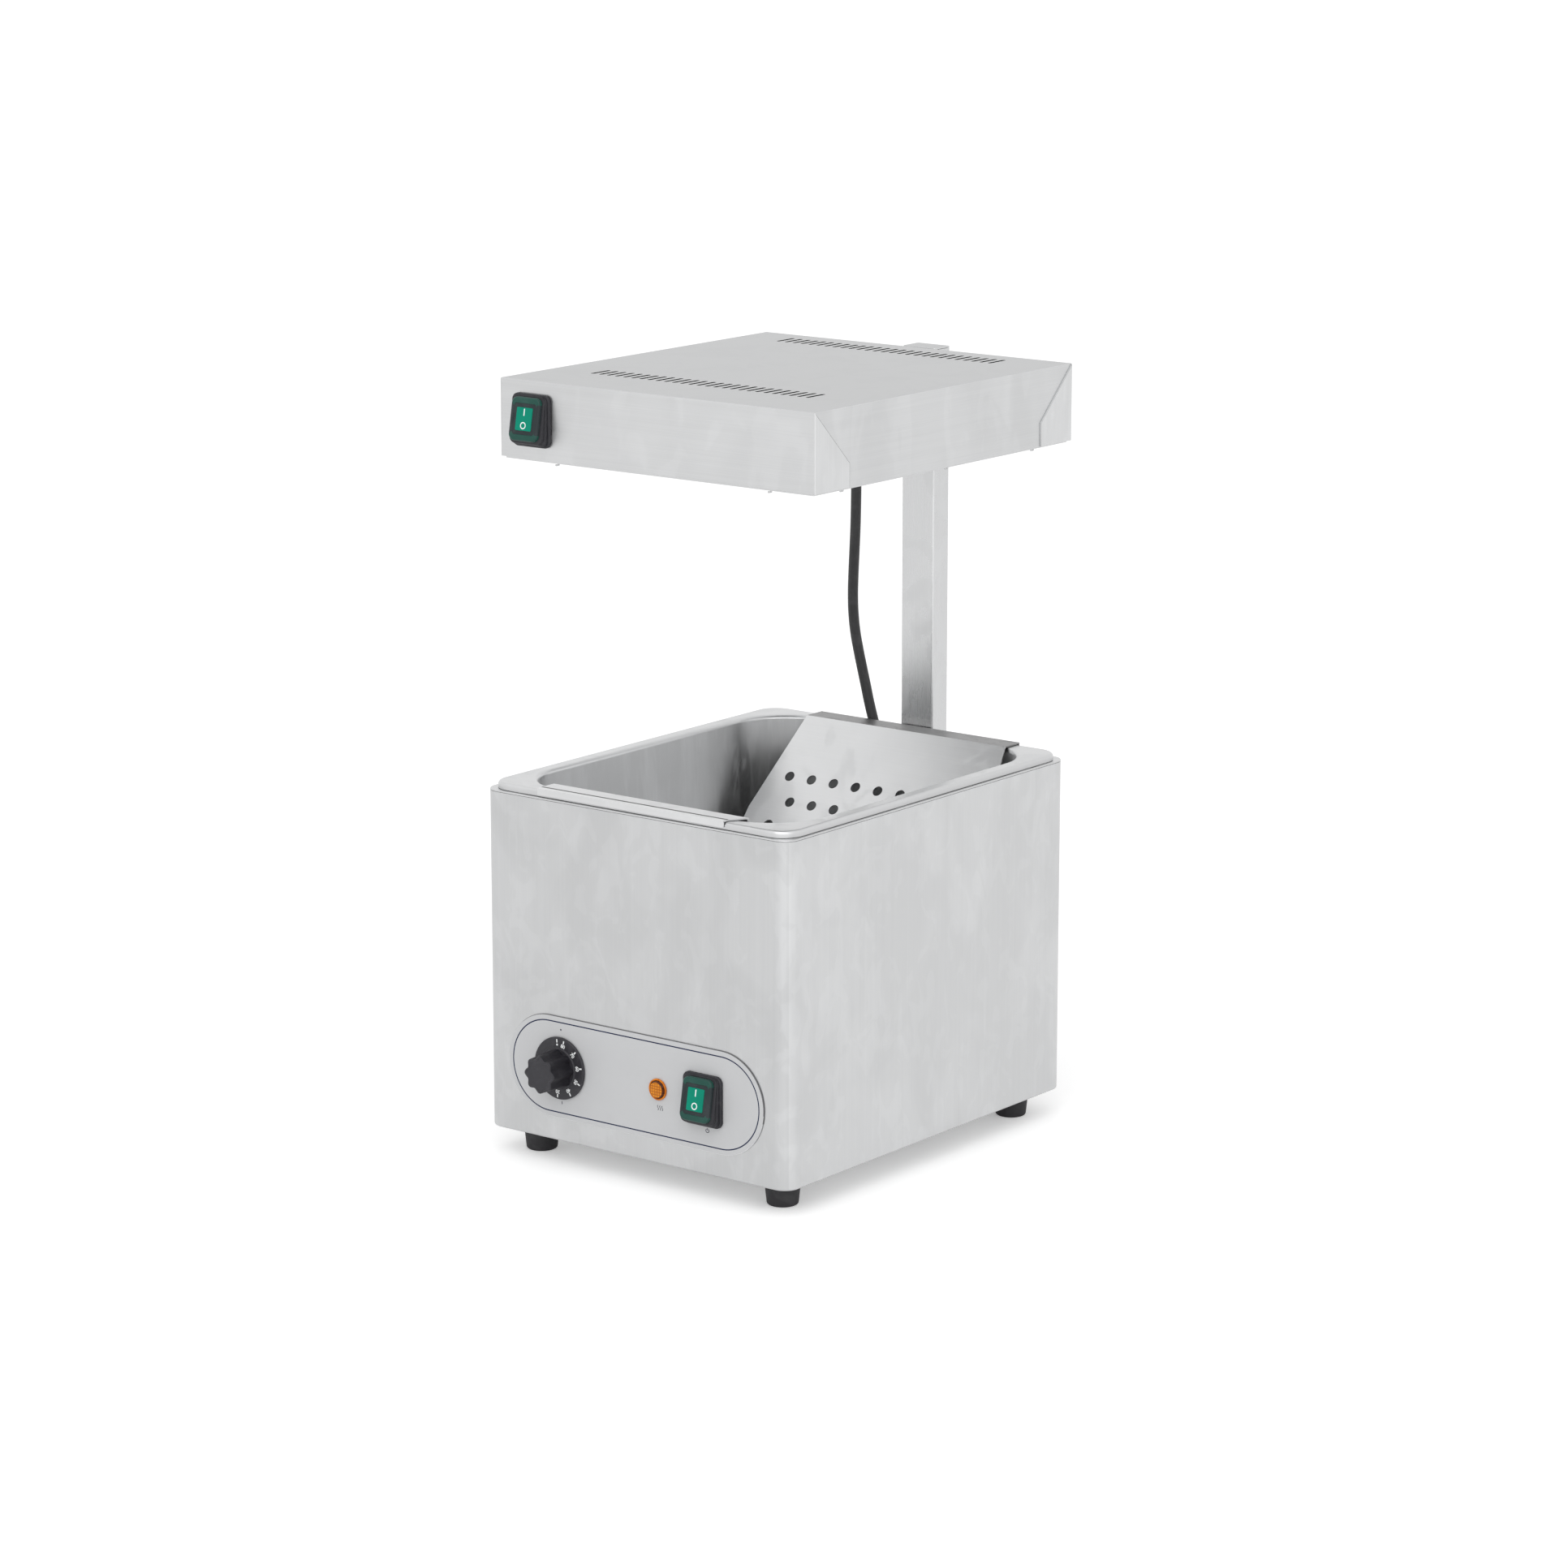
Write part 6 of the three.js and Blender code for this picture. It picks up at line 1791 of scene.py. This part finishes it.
    def tabs(self) -> bpy.types.Object:
        """Makes the four corner tabs that the end walls lay over the side walls."""
        form = Form()
        wall = self.outline.width / 2
        for side in (-1, 1):
            for way in (-1, 1):
                end = way * self.outline.depth / 2
                inner = end - way * self.tab
                profile = [
                    (end, self.bottom), (inner, self.bottom), (inner, self.top - self.tab),
                    (end, self.top - 0.4 * MM),
                ]
                tab = Form()
                tab.prism(profile, wall, self.half_width)
                turn = Matrix(((0, 0, side, 0), (1, 0, 0, self.outline.y), (0, 1, 0, 0), (0, 0, 0, 1)))
                tab.move(turn)
                outer = {vert for vert in tab.bm.verts if abs(vert.co.x) > wall + 0.5 * MM}
                tab.bevel([rim for rim in tab.bm.edges if outer.issuperset(rim.verts)], 0.45 * MM, 3)
                tab.outward()
                # The seam face along each tab's inner edge is painted shade: near-black steel on the front
                # tabs, the head top's darker steel on the rear ones.
                tab.paint(1 if way < 0 else 2, lambda face: way * face.normal.y < -0.2)
                form.join(tab)
        finishes = [HEAD_TAB_SHEEN_STEEL, DEEP_SHADE_STEEL, PAINTED_SHADE_STEEL]
        return make_piece("hood_corner_tabs", form, finishes)

    def tray(self) -> bpy.types.Object:
        """Makes the head's bottom sheet with the lamps' mouth."""
        form = Form()
        edge = self.outline.inset(self.tray_inset)
        low = self.tray_top - self.sheet
        loops = form.rings([
            (edge, low), (edge, self.tray_top), (self.mouth, self.tray_top), (self.mouth, low),
        ], 6, closed=True)
        form.bevel(loops[0] + loops[3], 0.25 * MM, 2)
        return make_piece("bottom_tray", form, [HEAD_FRONT_STEEL], ["head_tray"],
                          cutter=self.screw_holes())

    def reflector(self) -> bpy.types.Object:
        """Makes the polished reflector that stands on the tray by its two feet."""
        form = Form()
        line = [(113, 0), (104, 0), (84, 41), (-84, 41), (-104, 0), (-113, 0)]
        form.strip([(y * MM, self.reflector_level + z * MM, self.reflector_half) for y, z in line], 3 * MM)
        form.move(Matrix.Translation((0, self.outline.y, 0)))
        form.face_to(Vector((0, 0, 1)))
        return make_piece("lamp_reflector", form, [REFLECTOR_METAL], ["reflector"],
                          sheet=self.reflector_sheet)

    def lamp(self, row: str, way: int) -> list[bpy.types.Object]:
        """Makes one lamp: a quartz tube with a coiled filament between two ceramic holders.

        Args:
            row: the lamp's place in its nodes' names.
            way: -1 for the front lamp, 1 for the rear one.
        """
        place = Matrix.Translation((0, self.outline.y + way * self.lamp_offset, self.lamp_level))
        turn = place @ Matrix.Rotation(QUARTER_TURN, 4, "Y")
        half = self.lamp_half
        glass = Form()
        radius = self.lamp_radius
        glass.lathe([
            (0, -half, 0), (radius, -half, 1.5 * MM), (radius, half, 1.5 * MM), (0, half, 0),
        ], 32)
        bore = Form()
        reach = half - 2 * MM
        bore.lathe([
            (0, -reach, 0), (self.lamp_bore, -reach, 1 * MM), (self.lamp_bore, reach, 1 * MM), (0, reach, 0),
        ], 32)
        tube = make_piece(f"quartz_tube_{row}", glass.move(turn), [QUARTZ], [f"lamp_tube_{row}"],
                          cutter=bore.move(turn))
        coil = Form()
        coil.coil(1.9 * MM, 0.35 * MM, 6 * MM, 2 * (half - 12 * MM))
        wire = make_piece(f"filament_{row}", coil.move(turn), [FILAMENT])
        holders = [refined(f"lamp_holder_{row}_{side}", CERAMIC, 0.8 * MM)
                   for side in ("left", "right")]
        return [tube, wire, *holders]

    def guard(self) -> bpy.types.Object:
        """Makes the wire guard under the mouth."""
        form = Form()
        half_x, half_y = self.guard_half
        middle, level = self.outline.y, self.guard_level
        for way in (-1, 1):
            y = middle + way * half_y
            form.capsule((-half_x, y, level), (half_x, y, level), self.guard_wire)
        span = half_x - self.guard_wire
        end = half_y + self.guard_wire
        for number in range(self.guard_wires):
            x = span * (2 * number / (self.guard_wires - 1) - 1)
            form.capsule((x, middle - end, level), (x, middle + end, level), self.guard_wire)
        return make_piece("wire_guard", form, [ZINC_STEEL], ["lamp_guard"])

    def build(self) -> list[bpy.types.Object]:
        """Returns the head's pieces."""
        screws = [
            Screw(name, (x, y, self.screw_seat), head_radius=3.3 * MM, head_height=2.4 * MM,
                  shank_radius=1.9 * MM, shank_length=5.6 * MM).build()
            for name, (x, y) in self.screw_places().items()
        ]
        return [
            self.hood(),
            self.tabs(),
            self.tray(),
            *screws,
            self.reflector(),
            *self.lamp("front", -1),
            *self.lamp("rear", 1),
            self.guard(),
            refined("head_bracket", ZINC_STEEL, 0.3 * MM),
            *RockerSwitch("head", Body.HEAD_ROCKER, self.switch_origin).build(),
        ]


@dataclass(frozen=True)
class Lead:
    """Round lead from the head down behind the post to the casing, with an elbow at each end."""

    diameter: float = 7.8 * MM
    route: tuple[Triple, ...] = (
        (-0.0604, 0.1704, 0.4932), (-0.0604, 0.1706, 0.478), (-0.0603, 0.1709, 0.462),
        (-0.0603, 0.1712, 0.446), (-0.0606, 0.1714, 0.43), (-0.0612, 0.1716, 0.412),
        (-0.0622, 0.1718, 0.394), (-0.0633, 0.1721, 0.376), (-0.0638, 0.1723, 0.36),
        (-0.0633, 0.1725, 0.346), (-0.0616, 0.1728, 0.332), (-0.0588, 0.173, 0.319),
        (-0.0558, 0.1733, 0.3065), (-0.0527, 0.1736, 0.294), (-0.0496, 0.1738, 0.2815),
        (-0.0459, 0.1739, 0.269), (-0.0431, 0.174, 0.2605), (-0.0409, 0.174, 0.2535),
        (-0.03955, 0.174, 0.248), (-0.0388, 0.174, 0.2435), (-0.0385, 0.174, 0.239),
        (-0.0385, 0.174, 0.2328),
    )
    head_place: Triple = (-60.4 * MM, 161.4 * MM, 523 * MM)
    base_place: Triple = (-38.5 * MM, 165 * MM, 203 * MM)
    reach: float = 9 * MM
    sleeve: float = 22 * MM
    sleeve_end_radius: float = 4.65 * MM
    flange: tuple[float, float] = (10.5 * MM, 2.5 * MM)
    ribs: int = 6
    rib_groove: float = 0.55 * MM

    def cable(self) -> bpy.types.Object:
        """Makes the lead, a curve through its route.
        """
        line = bpy.data.curves.new("lead_line", "CURVE")
        line.dimensions = "3D"
        line.bevel_depth = self.diameter / 2
        line.bevel_resolution = 6
        line.resolution_u = 10
        spline = line.splines.new("BEZIER")
        spline.bezier_points.add(len(self.route) - 1)
        for knot, place in zip(spline.bezier_points, self.route):
            knot.co = place
            knot.handle_left_type = knot.handle_right_type = "AUTO"
        piece = bpy.data.objects.new("lead_cable", line)
        bpy.context.scene.collection.objects.link(piece)
        line.materials.append(material_of(SHEATH))
        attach(piece, Body.STATION.value)
        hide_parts("head_lead")
        return piece

    def elbow(self, node: str, place: Triple, way: int) -> bpy.types.Object:
        """Makes one elbow strain relief with a ribbed, tapered sleeve.

        Args:
            node: the CAD node that it replaces.
            place: middle of its hole, on the wall's outer face.
            way: 1 where the sleeve points up, -1 where it points down.
        """
        form = Form()
        radius, front = self.flange
        form.lathe([(0, 0.3 * MM, 0), (radius, 0.3 * MM, 0.2 * MM), (radius, front, 0.8 * MM), (0, front, 0)])
        form.rod((0, 0, -5.3 * MM), (0, 0, 1 * MM), 5.5 * MM, 24)
        form.rod((0, 0, -5.3 * MM), (0, 0, -1.3 * MM), 9 * MM, 6)
        form.box((-8 * MM, -7.5 * MM, 1.3 * MM), (8 * MM, 7.5 * MM, 17 * MM), 2 * MM, 4)
        sleeve = Form()
        start = 7.5 * MM
        profile = [(0, 0, 0), (7 * MM, 0, 0), (7 * MM, start, 0)]
        for rib in range(self.ribs):
            low = start + self.sleeve * rib / self.ribs
            high = start + self.sleeve * (rib + 0.68) / self.ribs
            radius = (7 - 1.8 * (rib + 0.5) / self.ribs) * MM
            groove = radius - self.rib_groove
            profile += [(groove, low, 0.1 * MM), (radius, low + 0.35 * MM, 0.25 * MM)]
            profile += [(radius, high - 0.35 * MM, 0.25 * MM), (groove, high, 0.1 * MM)]
        end, tip = start + self.sleeve, self.sleeve_end_radius
        profile += [(tip, end - 0.3 * MM, 0), (tip, end, 0.2 * MM), (0, end, 0)]
        sleeve.lathe(profile, 40)
        sleeve.move(Matrix.Translation((0, 0, self.reach)) @ Matrix.Rotation(-way * QUARTER_TURN, 4, "X"))
        form.join(sleeve)
        form.move(facing_back(*place))
        return make_piece(f"{node}_piece", form, [BLACK_PLASTIC], [node])

    def build(self) -> list[bpy.types.Object]:
        """Returns the lead and its elbows."""
        elbows = [
            self.elbow("head_elbow", self.head_place, -1),
            self.elbow("base_elbow", self.base_place, 1),
        ]
        return [self.cable(), *elbows]


@dataclass(frozen=True)
class MainsInlet:
    """Cable gland through the back wall and the terminal block behind it."""

    place: Triple = (92 * MM, 165 * MM, 61 * MM)
    bore: float = 3.8 * MM
    thread: float = 9 * MM
    inner_end: float = -9 * MM
    outer_end: float = 16 * MM

    def gland(self) -> bpy.types.Object:
        """Makes the gland: a domed nut outside the wall and a flat one inside, open right through."""
        form = Form()
        form.lathe([
            (self.bore, self.inner_end, 0),
            (self.thread, self.inner_end, 0.4 * MM),
            (self.thread, 10.5 * MM, 0.6 * MM),
            (7.6 * MM, self.outer_end, 2 * MM),
            (self.bore, self.outer_end, 0.5 * MM),
        ], closed=True)
        for low, high in ((0.3 * MM, 8 * MM), (self.inner_end, -1.3 * MM)):
            nut = Form()
            profile = [(8.5 * MM, low, 0), (10 * MM, low, 0), (10 * MM, high, 0), (8.5 * MM, high, 0)]
            nut.lathe(profile, 6, closed=True)
            nut.bevel([rim for rim in nut.bm.edges if len({round(v.co.z, 6) for v in rim.verts}) == 2],
                      0.4 * MM, 2)
            form.join(nut)
        form.move(facing_back(*self.place))
        return make_piece("cable_gland", form, [BLACK_PLASTIC], ["mains_gland"])

    def build(self) -> list[bpy.types.Object]:
        """Returns the inlet's pieces."""
        return [self.gland(), refined("terminal_block", CERAMIC, 0.8 * MM)]


@dataclass(frozen=True)
class Studio:
    """Pale floor and surroundings, soft lights and the camera at the photograph's viewing angle."""

    eye: Triple = (2.1168, -2.7428, 1.0410)
    azimuth: float = math.radians(37.602)
    elevation: float = math.radians(12.754)
    roll: float = math.radians(0.018)
    focal_length: float = 114.59
    sensor: float = 36.0
    floor_half: float = 60.0
    floor_white: float = 0.92
    even_light: float = 0.76
    floor_lift: float = 0.3
    mirror_lift: float = 0.12

    def camera(self) -> None:
        """Places the camera."""
        data = bpy.data.cameras.new("photo_camera")
        data.lens = self.focal_length
        data.sensor_width = self.sensor
        data.clip_end = 400
        spot = bpy.data.objects.new("photo_camera", data)
        flat = math.cos(self.elevation)
        across, along = math.sin(self.azimuth) * flat, -math.cos(self.azimuth) * flat
        back = Vector((across, along, math.sin(self.elevation)))
        turn = back.to_track_quat("Z", "Y").to_matrix().to_4x4() @ Matrix.Rotation(self.roll, 4, "Z")
        spot.matrix_world = Matrix.Translation(self.eye) @ turn
        bpy.context.scene.collection.objects.link(spot)
        bpy.context.scene.camera = spot

    def floor(self) -> bpy.types.Object:
        """Makes the floor, which is white to the camera and in reflections where no shadow falls on it."""
        form = Form()
        bmesh.ops.create_grid(form.bm, x_segments=1, y_segments=1, size=self.floor_half)
        piece = new_object("studio_floor", form.mesh("studio_floor"))
        material, graph = new_material("studio_floor")
        diffuse = graph.add("ShaderNodeBsdfDiffuse", {"Color": (*(self.floor_white,) * 3, 1)})
        path = graph.add("ShaderNodeLightPath")
        direct = graph.math("MULTIPLY", path.outputs["Is Camera Ray"], self.floor_lift)
        mirrored = graph.math("MAXIMUM", path.outputs["Is Glossy Ray"], path.outputs["Is Transmission Ray"])
        lift = graph.math("MULTIPLY_ADD", mirrored, self.mirror_lift, direct)
        pale = graph.add("ShaderNodeEmission", {"Color": (1, 1, 1, 1), "Strength": lift})
        lifted = graph.add("ShaderNodeAddShader", {0: diffuse.outputs[0], 1: pale.outputs[0]})
        graph.add("ShaderNodeOutputMaterial", {"Surface": lifted.outputs[0]})
        piece.data.materials.append(material)
        return piece

    def world(self) -> None:
        """Fills the surroundings with an even light, white to the camera and in reflections."""
        world = bpy.data.worlds.new("studio")
        world.use_nodes = True
        graph = Graph(world.node_tree)
        even = graph.add("ShaderNodeBackground", {"Color": (1, 1, 1, 1), "Strength": self.even_light})
        white = graph.add("ShaderNodeBackground", {"Color": (1, 1, 1, 1), "Strength": 1.0})
        path = graph.add("ShaderNodeLightPath")
        direct = graph.math("MAXIMUM", path.outputs["Is Camera Ray"], path.outputs["Is Transmission Ray"])
        seen = graph.math("MAXIMUM", direct, path.outputs["Is Glossy Ray"])
        mixed = graph.add("ShaderNodeMixShader", {0: seen, 1: even.outputs[0], 2: white.outputs[0]})
        graph.add("ShaderNodeOutputWorld", {"Surface": mixed.outputs[0]})
        bpy.context.scene.world = world

    def light(self, kind: str, name: str, energy: float, place: Triple, aim: Triple, size: float) -> None:
        """Adds a lamp that points at a place.

        Args:
            kind: SUN or AREA.
            name: name of the lamp.
            energy: its strength.
            place: where it stands.
            aim: where it points.
            size: its width, or for a sun the angle that it fills.
        """
        data = bpy.data.lights.new(name, kind)
        data.energy = energy
        if kind == "SUN":
            data.angle = size
        else:
            data.shape = "SQUARE"
            data.size = size
        lamp = bpy.data.objects.new(name, data)
        way = Vector(place) - Vector(aim)
        lamp.matrix_world = Matrix.Translation(place) @ way.to_track_quat("Z", "Y").to_matrix().to_4x4()
        bpy.context.scene.collection.objects.link(lamp)

    def build(self) -> None:
        """Sets up the camera, the floor and the lights."""
        bpy.context.scene.view_settings.view_transform = "Standard"
        self.camera()
        self.floor()
        self.world()
        self.light("SUN", "soft_sun", 0.4, (1.0, -2.2, 4.0), (0, 0, 0.2), math.radians(50))
        self.light("AREA", "front_softbox", 17.0, (1.6, -2.0, 1.4), (0, 0, 0.25), 3.4)
        self.light("AREA", "chute_softbox", 0.6, (-1.8, -1.05, 2.4), (0, 0.09, 0.2), 1.4)


def main() -> None:
    """Builds the studio and every sub-assembly, and reports their pieces."""
    logging.basicConfig(level=logging.INFO, format="%(message)s")
    Studio().build()
    parts = [Lead(), Casing(), Well(), Pan(), DrainingPlate(), ControlPanel(), Post(), LampHead(),
             MainsInlet()]
    for part in parts:
        for piece in part.build():
            LOG.info("%s: %s", type(part).__name__, piece.name)


if __name__ == "__main__":
    main()
